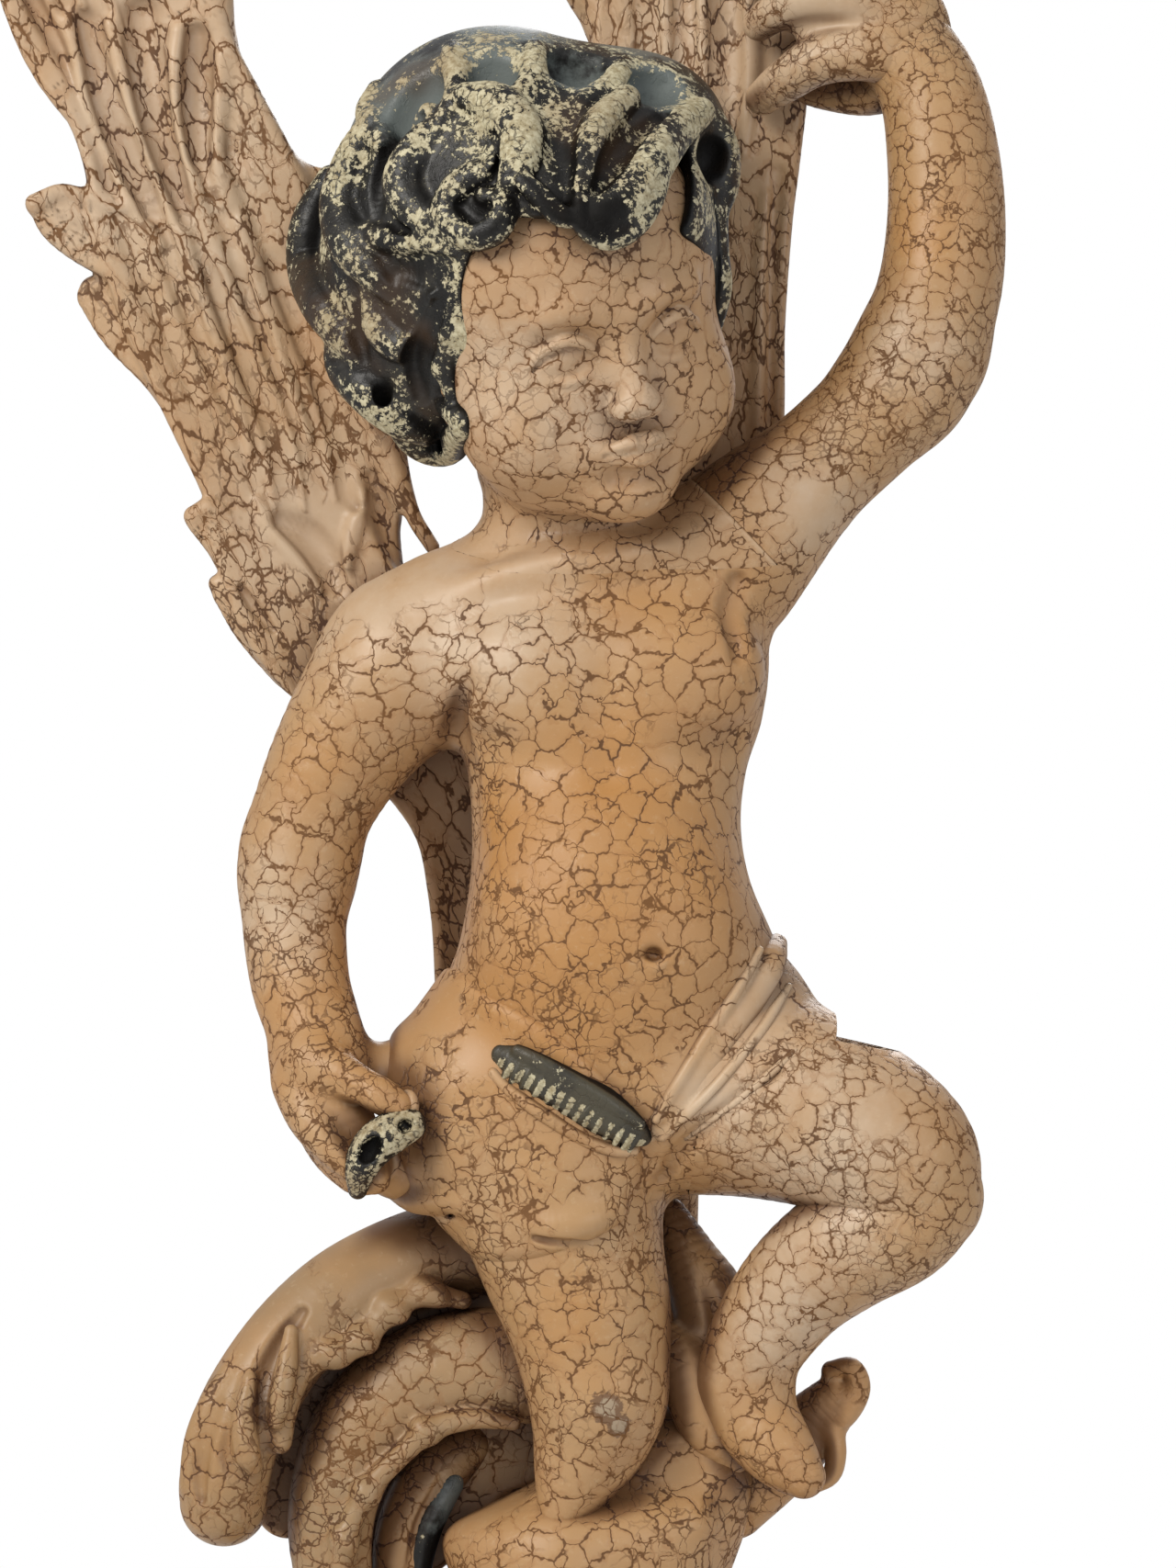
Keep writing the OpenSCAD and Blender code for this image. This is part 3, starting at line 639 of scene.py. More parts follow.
def crackled_paint(name, cell=7.6, stretch=(1, 1, 1), turn=(0, 0, 0), width=0.4, dense=1.0, dirt_and_shade=0.78,
                   fade=0.0, shade=0.0):
    """Aged satin paint over gesso, split into flakes."""
    t = Tree(name)
    here = t.new("TexCoord", out=3)

    def grain(where):
        return t.new("Mapping", props={"vector_type": "TEXTURE"}, Vector=where,
                     Rotation=tuple(math.radians(a) for a in turn), Scale=stretch)

    hollow, crest = t.attribute("hollow"), t.attribute("crest")
    broad = t.noise(here, 8.0, 3.0)
    middle = t.noise(here, 34.0, 4.0)
    patch = t.noise(here, 24.0, 4.0, 0.6)
    speck = t.noise(here, 420.0, 3.0, 0.7)
    ragged = t.math("SUBTRACT", t.noise(here, 60.0, 4.0, 0.65), 0.5)
    calm = t.math("ADD", t.attribute("calm"), t.math("MULTIPLY", ragged, 1.4))
    lively = t.ramp(calm, 0.4, 0.8, 1, 0)

    # main cracks fade in and out; a closer web joins them in patches
    vary = t.new("MapRange", i0=t.noise(here, 150.0, 2.0, 0.6), i1=0.34, i2=0.66, i3=width * 0.06,
                 i4=width * 1.5)
    edge = crack_distance(t, here, grain, cell)
    main = line(t, edge, vary)
    fine_edge = edge_distance(t, grain(here), cell * 0.58, 0.5)
    mask = t.ramp(t.math("ADD", patch, t.math("MULTIPLY", ragged, 0.5)), 0.44, 0.62, 0, dense)
    fine = t.math("MULTIPLY", line(t, fine_edge, t.math("MULTIPLY", vary, 0.72)), mask)
    crack = t.math("MULTIPLY", t.math("MAXIMUM", main, fine), lively)

    pale = t.math("ADD", t.attribute("pale"), t.math("MULTIPLY", ragged, 0.9))
    ochre = t.math("ADD", t.attribute("ochre"), t.math("MULTIPLY", ragged, 0.9))
    tan = t.mix(t.ramp(broad, 0.35, 0.65), srgb(186, 147, 102), srgb(188, 142, 92))
    tan = t.mix(t.ramp(middle, 0.45, 0.7, 0, 0.4), tan, srgb(174, 132, 92))
    tan = t.mix(t.ramp(patch, 0.5, 0.72, 0, 0.35), tan, srgb(194, 164, 128))
    tan = t.mix(t.ramp(ochre, 0.05, 0.85, 0, 0.75), tan, srgb(186, 132, 72))
    # painted highlight: paler in the highlight patches; fade lays some of the same pale over the whole piece,
    # partly paler paint and partly painted light
    tan = t.mix(t.ramp(pale, 0.05, 0.95, fade, 0.85), tan, srgb(208, 184, 156))
    tan = t.mix(t.ramp(patch, 0.3, 0.6, shade * 0.5, shade), tan, srgb(146, 122, 90))
    tan = t.mix(t.ramp(speck, 0.55, 0.8, 0, 0.18), tan, srgb(228, 206, 172))
    # a stained halo beside each crack; darker in the hollows, partly grime and partly painted shade; paler on
    # the crests
    halo = t.math("MULTIPLY", line(t, edge, 1.3), t.math("MULTIPLY", lively, 0.26))
    tan = t.mix(halo, tan, srgb(160, 108, 60))
    tan = t.mix(t.ramp(hollow, 0.25, 0.95, 0, dirt_and_shade), tan, srgb(98, 62, 36))
    tan = t.mix(t.ramp(crest, 0.35, 0.8, 0, 0.3), tan, srgb(222, 196, 162))
    chip = t.math("ADD", t.attribute("chip"), t.math("MULTIPLY", t.math("SUBTRACT", speck, 0.5), 0.9))
    tan = t.mix(t.ramp(chip, 0.3, 0.4, 0, 0.85), tan, srgb(112, 82, 58))
    tan = t.mix(t.ramp(chip, 0.55, 0.7, 0, 0.7), tan, srgb(186, 166, 138))
    groove = t.mix(t.ramp(middle, 0.35, 0.65), srgb(90, 56, 24), srgb(114, 74, 34))
    # crack lines go darker in the hollows: painted shade and grime
    groove = t.mix(t.ramp(hollow, 0.2, 0.8), groove, srgb(66, 36, 18))
    t.put(t.shader.inputs["Base Color"], t.mix(t.math("MULTIPLY", crack, 0.92), tan, groove))
    t.put(t.shader.inputs["Roughness"],
          t.math("ADD", t.ramp(middle, 0.3, 0.7, 0.36, 0.52), t.math("MULTIPLY", crack, 0.3)))
    t.shader.inputs["Specular IOR Level"].default_value = 0.45
    curl = t.math("MULTIPLY", line(t, edge, cell * 0.2), t.math("MULTIPLY", lively, 0.35))
    height = t.math("SUBTRACT", t.math("MULTIPLY", middle, 0.3), crack)
    height = t.math("SUBTRACT", height, curl)
    height = t.math("ADD", height, t.math("MULTIPLY", speck, 0.12))
    t.put(t.shader.inputs["Normal"], t.new("Bump", Strength=0.5, Distance=0.00035, Height=height))
    return t.material


def worn_dark_paint(name, cover=0.24, wear=3.4, dark=(22, 19, 14), slate=(108, 114, 110)):
    """Near-black paint, smooth and slate in the calm places, flaked off to cream gesso on the high ones."""
    t = Tree(name)
    here = t.new("TexCoord", out=3)
    hollow, crest = t.attribute("hollow"), t.attribute("crest")
    edge = edge_distance(t, here, 3.0, 0.6)
    crack = t.math("MULTIPLY", line(t, edge, 0.26), t.ramp(t.noise(here, 120.0, 3.0, 0.6), 0.4, 0.62))
    blotch = t.noise(here, 85.0, 5.0, 0.68)
    flake = t.noise(here, 560.0, 4.0, 0.7)
    rust = t.noise(here, 26.0, 3.0, 0.6)
    high = t.math("SUBTRACT", t.math("MULTIPLY", crest, 0.7), hollow)
    high = t.math("ADD", high, t.math("MULTIPLY", t.attribute("flaked"), 0.75))
    bare = t.math("ADD", high, t.math("MULTIPLY", t.math("SUBTRACT", blotch, 0.5), wear))
    bare = t.math("ADD", bare, t.math("MULTIPLY", t.math("SUBTRACT", flake, 0.5), wear))
    bare = t.math("SUBTRACT", bare, t.math("MULTIPLY", crack, 0.45))
    bare = t.ramp(bare, cover, cover + 0.25)
    smooth = t.math("ADD", t.attribute("calm"), t.math("MULTIPLY", t.math("SUBTRACT", blotch, 0.5), 1.6))
    paint = t.mix(t.ramp(blotch, 0.4, 0.66), srgb(*dark), srgb(54, 50, 42))
    # nearer black in the hollows as painted shade, and in scattered flecks
    paint = t.mix(t.ramp(t.math("ADD", hollow, t.math("MULTIPLY", flake, 0.4)), 0.45, 0.9), paint,
                  srgb(14, 11, 8))
    paint = t.mix(t.ramp(smooth, 0.3, 0.8, 0, 0.9), paint, srgb(*slate))
    paint = t.mix(t.ramp(rust, 0.52, 0.72, 0, 0.65), paint, srgb(72, 52, 34))
    cream = t.mix(t.ramp(flake, 0.3, 0.7), srgb(150, 134, 98), srgb(212, 202, 168))
    cream = t.mix(t.ramp(rust, 0.45, 0.7, 0, 0.45), cream, srgb(146, 116, 78))
    cream = t.mix(t.math("MULTIPLY", crack, 0.7), cream, srgb(62, 50, 34))
    t.put(t.shader.inputs["Base Color"], t.mix(bare, paint, cream))
    t.put(t.shader.inputs["Roughness"], t.math("ADD", t.ramp(bare, 0, 1, 0.4, 0.7),
                                               t.ramp(hollow, 0.3, 0.8, 0, 0.25)))
    t.put(t.shader.inputs["Specular IOR Level"], t.ramp(hollow, 0.25, 0.75, 0.45, 0.18))
    height = t.math("ADD", t.math("MULTIPLY", bare, -0.6), t.math("MULTIPLY", flake, 0.5))
    height = t.math("SUBTRACT", height, t.math("MULTIPLY", crack, 0.3))
    t.put(t.shader.inputs["Normal"], t.new("Bump", Strength=0.6, Distance=0.0006, Height=height))
    return t.material


def bare_wood(name, light, dark, gloss):
    """Turned or planed wood with its grain along X."""
    t = Tree(name)
    here = t.new("TexCoord", out=3)
    grain = t.new("Mapping", Vector=here, Scale=(8.0, 90.0, 90.0))
    rings = t.noise(grain, 1.0, 4.0, 0.6)
    pores = t.noise(t.new("Mapping", Vector=here, Scale=(60.0, 900.0, 900.0)), 1.0, 2.0)
    colour = t.mix(t.ramp(rings, 0.35, 0.65), srgb(*light), srgb(*dark))
    t.put(t.shader.inputs["Base Color"], t.mix(t.ramp(pores, 0.6, 0.75, 0, 0.5), colour, srgb(*dark)))
    t.put(t.shader.inputs["Roughness"], t.ramp(rings, 0.3, 0.7, gloss, gloss + 0.15))
    t.put(t.shader.inputs["Normal"], t.new("Bump", Strength=0.3, Distance=0.0003, Height=pores))
    return t.material


def plain_steel(name):
    t = Tree(name)
    here = t.new("TexCoord", out=3)
    rust = t.ramp(t.noise(here, 180.0, 4.0, 0.65), 0.5, 0.7)
    t.put(t.shader.inputs["Base Color"], t.mix(rust, srgb(150, 148, 144), srgb(112, 76, 52)))
    t.put(t.shader.inputs["Roughness"], t.ramp(rust, 0, 1, 0.35, 0.8))
    t.put(t.shader.inputs["Metallic"], t.ramp(rust, 0, 1, 1.0, 0.1))
    return t.material


def wool_felt(name):
    t = Tree(name)
    here = t.new("TexCoord", out=3)
    fibre = t.noise(here, 900.0, 4.0, 0.8)
    t.put(t.shader.inputs["Base Color"], t.mix(fibre, srgb(36, 62, 40), srgb(58, 88, 60)))
    t.shader.inputs["Roughness"].default_value = 0.95
    t.put(t.shader.inputs["Normal"], t.new("Bump", Strength=0.6, Distance=0.0005, Height=fibre))
    return t.material


# ------------------------------------------------------------------ the figure's clay

def torso_clay():
    c = Clay()
    c.add(Stack([(222, 3, 28, -1, 26), (238, 5, 42, -2, 34), (252, 6, 45, -3, 36), (266, 7, 47, -4, 37),
                 (280, 8, 43, -5.5, 38), (297, 6, 38, -4, 37), (312, 5, 36.5, -3, 34), (327, 5, 38, -1, 32),
                 (342, 5, 42.5, 0, 31), (358, 3, 45, 1, 29), (372, 0, 35, 3, 25), (386, -1, 23, 3, 20)], 2.2))
    # neck and the slopes to the shoulders
    c.add(Limb([(0, 3, 370, 24), (-2, 1, 392, 22), (-6.5, 0, 412, 24)]), 10)
    c.add(Limb([(-6, 6, 388, 16), (-30, 4, 372.5, 17), (-50, 2, 360, 20)]), 12)
    c.add(Limb([(8, 6, 386, 16), (26, 4, 380, 18), (42, 2, 386, 18)]), 8)
    # chest, ribs and belly
    c.add(Egg((-15, -19, 352), (22, 13, 18), (0, 12, 0)), 12)
    c.add(Egg((24, -19, 354), (22, 13, 18), (0, -14, 0)), 12)
    c.add(Egg((5, -28, 286), (29, 16, 29)), 16)
    c.cut(Limb([(4, -40, 366, 1.5), (5, -37, 350, 2.2), (5, -38, 330, 1.4)]), 9)
    c.cut(Limb([(-30, -24, 334, 1.4), (-14, -37, 330, 1.8), (4, -38, 328, 1.4)]), 9)
    c.cut(Limb([(40, -20, 335, 1.4), (24, -36, 331, 1.8), (6, -38, 328, 1.4)]), 9)
    c.add(Limb([(4, -21, 384, 3), (22, -17, 388, 3.2), (38, -9, 392, 3)]), 8)
    c.add(Limb([(-5, -21, 383, 3), (-24, -19, 379, 3.2), (-42, -12, 372, 3)]), 8)
    return c


def arms(c):
    # the raised arm
    c.add(Limb([(30, 3, 376, 23), (41, 1, 391, 20), (62.5, 0, 409.5, 16.6), (82, 1, 428, 16.8),
                (91, 2, 440, 17)]), 9)
    c.add(Limb([(86, 2, 433, 16.8), (95, 3, 455, 17), (97.7, 4, 476, 16.2), (96.7, 6, 497, 15.2),
                (93, 8, 514, 14),
                (84, 9, 528, 13.4)]), 7)
    c.add(Egg((49, -4, 396), (16, 15, 22), (0, 46, 0)), 8)
    # the lowered arm
    c.add(Limb([(-36, 3, 363, 22), (-53, 0, 351, 22), (-66, -1, 334, 18.7), (-75, -1, 316, 16.2),
                (-78.7, -2, 300, 14.8)]), 9)
    c.add(Limb([(-78.7, -2, 304, 14.9), (-79.8, -4, 288, 14.2), (-78, -8, 270, 13.4), (-73.6, -13, 256, 12.7),
                (-72, -18, 246, 12.5)]), 7)
    return c


def lowered_hand(c):
    c.add(Limb([(-73, -15, 250, 11.6), (-71.5, -21, 240, 11), (-66, -24, 229, 10.2), (-61, -24, 221, 8)],
               depth=0.85), 5)
    c.add(Limb([(-68, -13, 246, 6), (-56, -10, 245.5, 7), (-42, -8, 248, 8)]), 7)  # web towards the hip
    # thumb along the top, fingers wrapped round underneath
    c.add(Limb([(-74, -25, 249, 7), (-67, -30, 246, 6.0), (-60, -33.5, 242.6, 5.0), (-55.5, -35, 240, 5.2),
                (-51, -35.5, 237.6, 4.2)]), 4)
    c.add(Limb([(-77.4, -21, 243, 6.8), (-75, -27, 235, 6.2), (-69, -31, 227.5, 5.5),
                (-63.5, -32, 222, 4.6)]), 2.5)
    c.add(Limb([(-73.5, -17, 235, 5.8), (-69, -22, 225.5, 5.3), (-62.5, -26, 219.5, 4.7),
                (-57, -28, 217.5, 4)]), 2.5)
    c.cut(Limb([(-71, -37, 237, 1.3), (-70, -38, 241.5, 2.0), (-66, -38, 242, 1.6),
                (-62, -39, 238.5, 0.9)]), 1.6)
    c.cut(Egg((-62, -40, 231), (7.5, 8, 6), (0, 32, 0)), 4)
    return c


def legs(c):
    # standing leg, down to a knee that narrows towards the block
    c.add(Limb([(-12, -4, 240, 33), (-9, -8, 218, 29.5), (-5, -10, 198, 25.5), (0, -12, 180, 22.5),
                (2, -12.5, 163, 19.5), (1.5, -13, 150, 16.6), (-2, -14, 140, 12.6), (-5.5, -15, 131, 8.4),
                (-8.5, -16, 123, 4.6), (-10, -16, 116, 3)]), 8)
    c.add(Egg((5, -19, 158), (14, 12.5, 12)), 8)
    # the hip the lowered hand rests on
    c.add(Egg((-32, -5, 234), (22, 27, 30), (0, -8, 0)), 10)
    c.add(Egg((-49, -6, 221), (13, 15, 10.5), (0, -10, 0)), 6)
    # thigh of the bent leg
    c.add(Limb([(20, -4, 243, 31), (43, -11, 240.5, 28.8), (64.5, -20, 234, 25.3), (82, -26, 224.5, 21.8),
                (89, -28, 214.5, 16.5)]), 8)
    c.add(Egg((49, -6, 262), (10.5, 16, 13)), 8)                          # hip over it
    return c


def shin_clay():
    c = Clay()
    c.add(Limb([(89.5, -27, 213, 16.6), (82, -25, 206, 17.6), (69, -21, 198.5, 17.2), (56.5, -16, 188, 15.6),
                (46.5, -12, 174, 13.8), (42, -9, 162, 12.5)]), 3)
    c.add(Limb([(42, -7, 161, 12), (46, -12, 151, 11.5), (52, -17, 143, 9.5), (58, -20, 137, 6)]), 5)
    c.cut(Limb([(51, -27, 147, 0.7), (57, -28, 140, 1.0), (62, -25, 135, 0.8)]), 1.2)
    c.cut(Limb([(45, -27, 143, 0.6), (51, -27, 137, 0.9), (56, -25, 132, 0.7)]), 1.2)
    return c


def body_clay():
    c = lowered_hand(legs(arms(torso_clay())))
    c.cut(Egg((17.5, -47, 278), (2.8, 4.2, 2.3)), 2.2)                 # navel
    c.add(Limb(laid_on(c, [(15.5, 275.6, 0.9), (17.5, 274.8, 1.2), (19.6, 275.6, 0.9)], 0.2)), 1.6)
    # creases: groin, armpits, a fold over the thigh
    c.cut(Limb(laid_on(c, [(50, 247, 0.6), (41, 240, 1.2), (27, 228, 1.3), (20, 218, 0.8)])), 3.5)
    c.cut(Limb(laid_on(c, [(-33, 350, 1.0), (-35, 338, 2.2), (-34, 325, 2.0), (-33, 312, 1.0)])), 5)
    c.cut(Limb(laid_on(c, [(40, 378, 0.8), (38, 368, 1.6), (40, 358, 0.8)])), 5)
    return c


# ------------------------------------------------------------------ the head

def head_clay():
    """A generic calm child's head, upright at the origin: nose towards -Y, chin at z -58, crown at z 60."""
    c = Clay()
    c.add(Egg((0, 5, 12), (46, 50, 47)))                                        # skull
    c.add(Egg((0, -12, -14), (38, 34, 36)), 16)                                 # face
    c.add(Egg((0, -22, 16), (35, 26, 27)), 14)                                  # forehead
    c.add(Egg((0, -17, -38), (27, 24, 18)), 14)                                 # jaw
    for s in (-1, 1):
        c.add(Egg((21 * s, -27, -26), (17, 16, 17)), 12)                        # cheek
        c.cut(Egg((16.5 * s, -52, -4), (11, 6.4, 6.2), (0, 6 * s, 12 * s)), 8)  # socket
        c.add(Egg((16.0 * s, -37.2, -5.5), (9.4, 8.2, 7.6), (0, 0, 16 * s)), 1.5)         # eyeball
        c.add(Limb([(6.6 * s, -44.2, -7.6, 0.8), (10.5 * s, -46.6, -2.6, 1.4), (16.5 * s, -46.4, -0.2, 1.7),
                    (22 * s, -43.0, -2.4, 1.4), (25.6 * s, -38.8, -7.2, 0.8)], per_span=6), 1.4)   # upper lid
        c.add(Limb([(7.4 * s, -43.8, -8.8, 0.7), (12 * s, -45.0, -11.4, 1.0), (18 * s, -43.8, -11.8, 1.0),
                    (24.4 * s, -39.2, -8.4, 0.6)], per_span=6), 1.6)                      # lower lid
        c.cut(Limb([(8.2 * s, -46.2, -7.0, 0.5), (12 * s, -47.2, -4.4, 0.8), (17 * s, -46.6, -2.6, 0.9),
                    (21.5 * s, -43.8, -4.2, 0.8), (24.4 * s, -40.6, -7.4, 0.4)], per_span=6), 0.7)
        c.cut(Limb([(9 * s, -48.0, 1.6, 0.5), (15 * s, -49.2, 3.4, 0.9), (20.5 * s, -46.8, 2.4, 0.8),
                    (25 * s, -42.4, -1.8, 0.4)]), 2.0)
        c.add(Limb([(7 * s, -48.2, 5.0, 1.0), (14 * s, -48.0, 8.0, 1.4), (22 * s, -44.4, 6.6, 1.0)]),
              8)  # brow
        c.add(Egg((4.2 * s, -49.4, -21.4), (3.2, 3.8, 2.8), (0, 0, 12 * s)), 2.5)   # wing of the nose
        c.cut(Egg((2.7 * s, -52.2, -24.0), (1.3, 1.7, 0.7)), 1.2)                   # nostril
        c.add(Limb([(0, -49.0, -31.2, 1.6), (3.0 * s, -49.8, -30.6, 2.1), (8.8 * s, -46.4, -32.6, 1.0)]), 3)
        c.add(Egg((12.6 * s, -41.8, -33.0), (4.0, 4.0, 4.0)), 7)                    # beside the mouth
        c.add(Limb([(42 * s, 2, 6, 3.5), (46 * s, 5, -4, 3.8), (43 * s, 2, -14, 3.0)]), 3)   # ear
    c.add(Limb([(0, -46.0, 2, 3.4), (0, -47.4, -7, 3.5), (0, -50.2, -15.5, 3.9), (0, -51.8, -19.6, 4.1)]), 6)
    c.add(Limb([(-5.8, -46.2, -35.2, 1.8), (0, -47.8, -36.2, 3.0), (5.8, -46.2, -35.2, 1.8)]), 3)
    c.cut(Limb([(-10.2, -47.4, -33.4, 0.3), (-4.4, -51.6, -33.0, 0.5), (0, -52.0, -33.4, 0.5),
                (4.4, -51.6, -33.0, 0.5), (10.2, -47.4, -33.4, 0.3)]), 1.2)
    c.cut(Limb([(0, -53.0, -26.0, 0.5), (0, -51.8, -29.0, 0.8)]), 3)                # groove over the lip
    c.add(Egg((0, -38, -46), (12, 9, 9)), 10)                                       # chin
    c.cut(Limb([(-7, -46.4, -40.6, 0.6), (0, -48.4, -41.2, 1.0), (7, -46.4, -40.6, 0.6)]), 6)
    return c


HEAD_CENTRE, HEAD_TURN, HEAD_SIZE = (-11, -14, 454), (13, -14, 23), 0.99


def head_and_neck():
    shoulder = Plate(RAISED_SHOULDER, (24, -60, 340), (130, 60, 560))
    return (Clay().add(SHAPES["body"]).cut(shoulder, 0.5)
            .add(Posed(head_clay(), HEAD_CENTRE, HEAD_TURN, HEAD_SIZE), 5))


def hair_clay():
    """Deep curls over the whole head, fuller over the figure's right side."""
    mass = Clay()
    mass.add(Posed(Clay().add(Egg((0, 6, 14), (50.5, 54, 51))), HEAD_CENTRE, HEAD_TURN))
    mass.add(Posed(Clay().add(Egg((0, -20, 25), (37, 34, 28))), HEAD_CENTRE, HEAD_TURN), 8)
    mass.add(Egg((-25, -12, 488), (40.4, 42, 40)), 12)
    mass.add(Egg((-50, -8, 464), (22, 32, 26), (0, 16, 0)), 12)
    mass.add(Egg((-46, -6, 437), (19, 30, 23), (0, -30, 0)), 12)
    mass.add(Egg((10, -10, 498), (28, 34, 24)), 10)
    head = Posed(head_clay(), HEAD_CENTRE, HEAD_TURN, HEAD_SIZE)
    ground = Clay().add(mass).add(head)       # what the locks lie on
    opening = Clay().add(Egg((4, -46, -21), (38, 32, 46))).add(Egg((3, -64, -19), (36, 30, 43)), 6)
    face = Clay().add(Posed(opening, HEAD_CENTRE, HEAD_TURN))
    face.add(Egg((21, -52, 481), (5.5, 26, 18), (0, 6, 0)), 3)
    face.add(Egg((-17, -56, 453), (16, 34, 20)), 3)
    face.add(Egg((2, -62, 454), (24, 34, 21)), 3)
    c = Clay().add(Clay().add(mass).cut(face, 5))

    def locks(sink, k, *rows_of_rows):
        for rows in rows_of_rows:
            c.add(Limb(laid_on(ground, rows, sink)), k)

    def grooves(sink, k, *rows_of_rows):
        for rows in rows_of_rows:
            c.cut(Limb(laid_on(ground, rows, sink)), k)

    # broad hollows of the crown, with ridges between them
    for x, z, rx, rz, lean in [(-46, 506, 9.5, 15, 20), (-25, 513, 8.5, 13, 8), (-3, 515.5, 9.5, 8.5, -6),
                               (19, 511, 11, 7, -26)]:
        (_, y, _), = laid_on(ground, [(x, z)])
        c.cut(Egg((x, y - 3, z), (rx, 8.5, rz), (0, lean, 0)), 2.5)
    locks(1.2, 2.5, [(-36.4, 520, 1.8), (-36, 516, 3.0), (-35, 506, 3.2), (-40, 496, 2.4), (-44, 488, 2)],
          [(-14, 520, 1.8), (-14, 516, 3.0), (-16, 508, 3.4), (-24, 500, 3), (-31, 494, 2.4)],
          [(8.8, 516, 1.6), (8.5, 513, 2.6), (5, 508, 3.4), (-2, 503, 3)],
          [(-57, 510, 2.4), (-59, 503, 3.4), (-55, 495, 3.4), (-49, 488, 2.4)])
    # the central mass and the forehead curls
    locks(-0.5, 1.4, [(-32, 505, 4), (-24, 502, 6.5), (-18, 494, 7), (-18, 486, 6), (-20, 481, 4)],
          [(10, 505, 4), (3, 497, 4.8), (0, 488, 4.6), (-2, 478, 4)],
          [(30, 503, 4), (22, 496, 6), (16, 486, 6.5), (10, 476, 7), (4, 472, 6.5)],
          [(-24, 485, 3.6), (-33, 481, 4.4), (-37, 474, 4.4), (-32, 468, 4.6), (-25, 468.5, 4.4),
           (-22, 474, 3.6),
           (-27, 477.5, 2.6)])
    locks(-3.0, 1.2, [(17, 491, 2.6), (18, 481, 3.2), (13.5, 471, 3.4), (6, 466, 3.4), (-1, 469, 3),
                      (-2, 475, 2.2)],
          [(-17, 481, 2.6), (-12, 476, 3.0), (-7, 471.5, 3), (-2, 471, 2)])
    grooves(-3.0, 1.6, [(-4, 500, 1.6), (-7.5, 494, 3.6), (-7, 486, 3.6), (-6, 478, 2)],
            [(20, 501, 1.8), (12, 495, 3.8), (7, 487, 3.8), (3, 479, 2)],
            [(15, 482, 1.0), (11, 477, 2.0), (7, 475, 1.0)],
            [(-33, 475, 1.4), (-29.5, 472, 2.6), (-26.5, 474.5, 1.4)],
            [(-25, 494, 1.0), (-22, 488, 1.6), (-25, 482, 1.0)])
    # the side over the figure's right ear: long S-shaped locks
    locks(1.0, 1.8, [(-42, 501, 3), (-46, 491, 5.5), (-48, 481, 6.5), (-43, 473, 5.5), (-34, 469, 3.4)],
          [(-57, 500, 4), (-62, 490, 6), (-65, 478, 7), (-62, 467, 7), (-56, 459, 5), (-52, 454, 3)],
          [(-70, 488, 4), (-75, 476, 6), (-75, 464, 7), (-70, 452, 7), (-64, 443, 5), (-60, 436, 3)],
          [(-62, 470, 3), (-53, 468, 3.8), (-43, 466.5, 3.8), (-35, 464, 3)],
          [(-58, 453, 3), (-55, 445, 5), (-49, 440, 5), (-43, 440, 4), (-39, 434, 3)],
          [(-66, 446, 4), (-65, 437, 6), (-58, 429, 7), (-50, 422, 6), (-43, 418, 4)],
          [(-40, 452, 2.4), (-38, 444, 3), (-37, 432, 3), (-35, 424, 2)],
          [(-53, 424, 4), (-46, 416, 4.8), (-38, 414, 4.6), (-33, 419, 4), (-38, 424.5, 2.8)])
    grooves(-2.5, 1.6, [(-45, 500, 2.0), (-51, 493, 3.8), (-56, 484, 4.2), (-57, 475, 2.4)],
            [(-37, 459, 3.2), (-44, 458.5, 5.0), (-51, 459, 3.6)],
            [(-39, 451, 2.0), (-42, 445, 3.4), (-46, 434, 4.2), (-45, 426, 2.4)],
            [(-52, 434, 1.4), (-55, 427, 2.4), (-50, 420, 1.4)],
            [(-68, 462, 1.2), (-63, 453, 2.6), (-62, 444, 2.6), (-60, 437, 1.4)],
            [(-69, 482, 1.2), (-70, 472, 2.2), (-68, 462, 1.4)],
            [(-53, 480, 0.8), (-52, 472, 1.6), (-47, 469, 0.8)],
            [(-40, 417, 1.2), (-41, 414, 2.0), (-38, 415.5, 1.2)])
    # beside the far temple: a black hollow and a thin strand down
    c.add(Limb([(26, -22, 502, 6), (33, -20, 496, 7), (35, -18, 486, 6), (33.5, -20, 477, 4.5),
                (34, -21, 466, 4),
                (35, -20, 457, 3.8), (33.5, -18, 447, 2.8), (32.5, -17, 442, 2)]), 3)
    c.cut(Egg((33, -30, 491), (5, 8, 6.5), (0, 20, 0)), 3)
    c.cut(Limb([(33.5, -27, 480, 0.8), (34.5, -26, 466, 1.0), (34.5, -24, 452, 0.7)]), 1.2)
    # close to the skull there is paint even at the bottom of the grooves
    scalp = Clay().add(Thickened(Clay().add(head), 1.4, (-70, -76, 400), (52, 52, 516)))
    return c.add(scalp.keep(mass, 2).cut(face, 2), 1.0)


# ------------------------------------------------------------------ where the pieces part

NECK = (0, -16, 383)
RAISED_SHOULDER = [((42, 0, 392), (-0.72, 0, -0.69)), ((24, 0, 380), (-1, 0, 0))]
RAISED_ARM = Region(RAISED_SHOULDER + [((82, 9, 523), (-0.6, 0, 0.8))])
LOWERED_ARM = Region([((-38, 0, 330), (0.96, 0, 0.27)), ((-38, 0, 300), (1, 0, 0))])
STANDING_LEG = Region([((0, 0, 214), (0, 0, 1)), ((27, 0, 190), (1, 0, 0))])
HEAD_PART = Region([(NECK, (0, 0.38, -1))], [LOWERED_ARM])
BENT_LEG = Region([((31, -6, 243), (-0.95, 0, 0.12)), ((31, 0, 262), (0.2, 0, 1))])


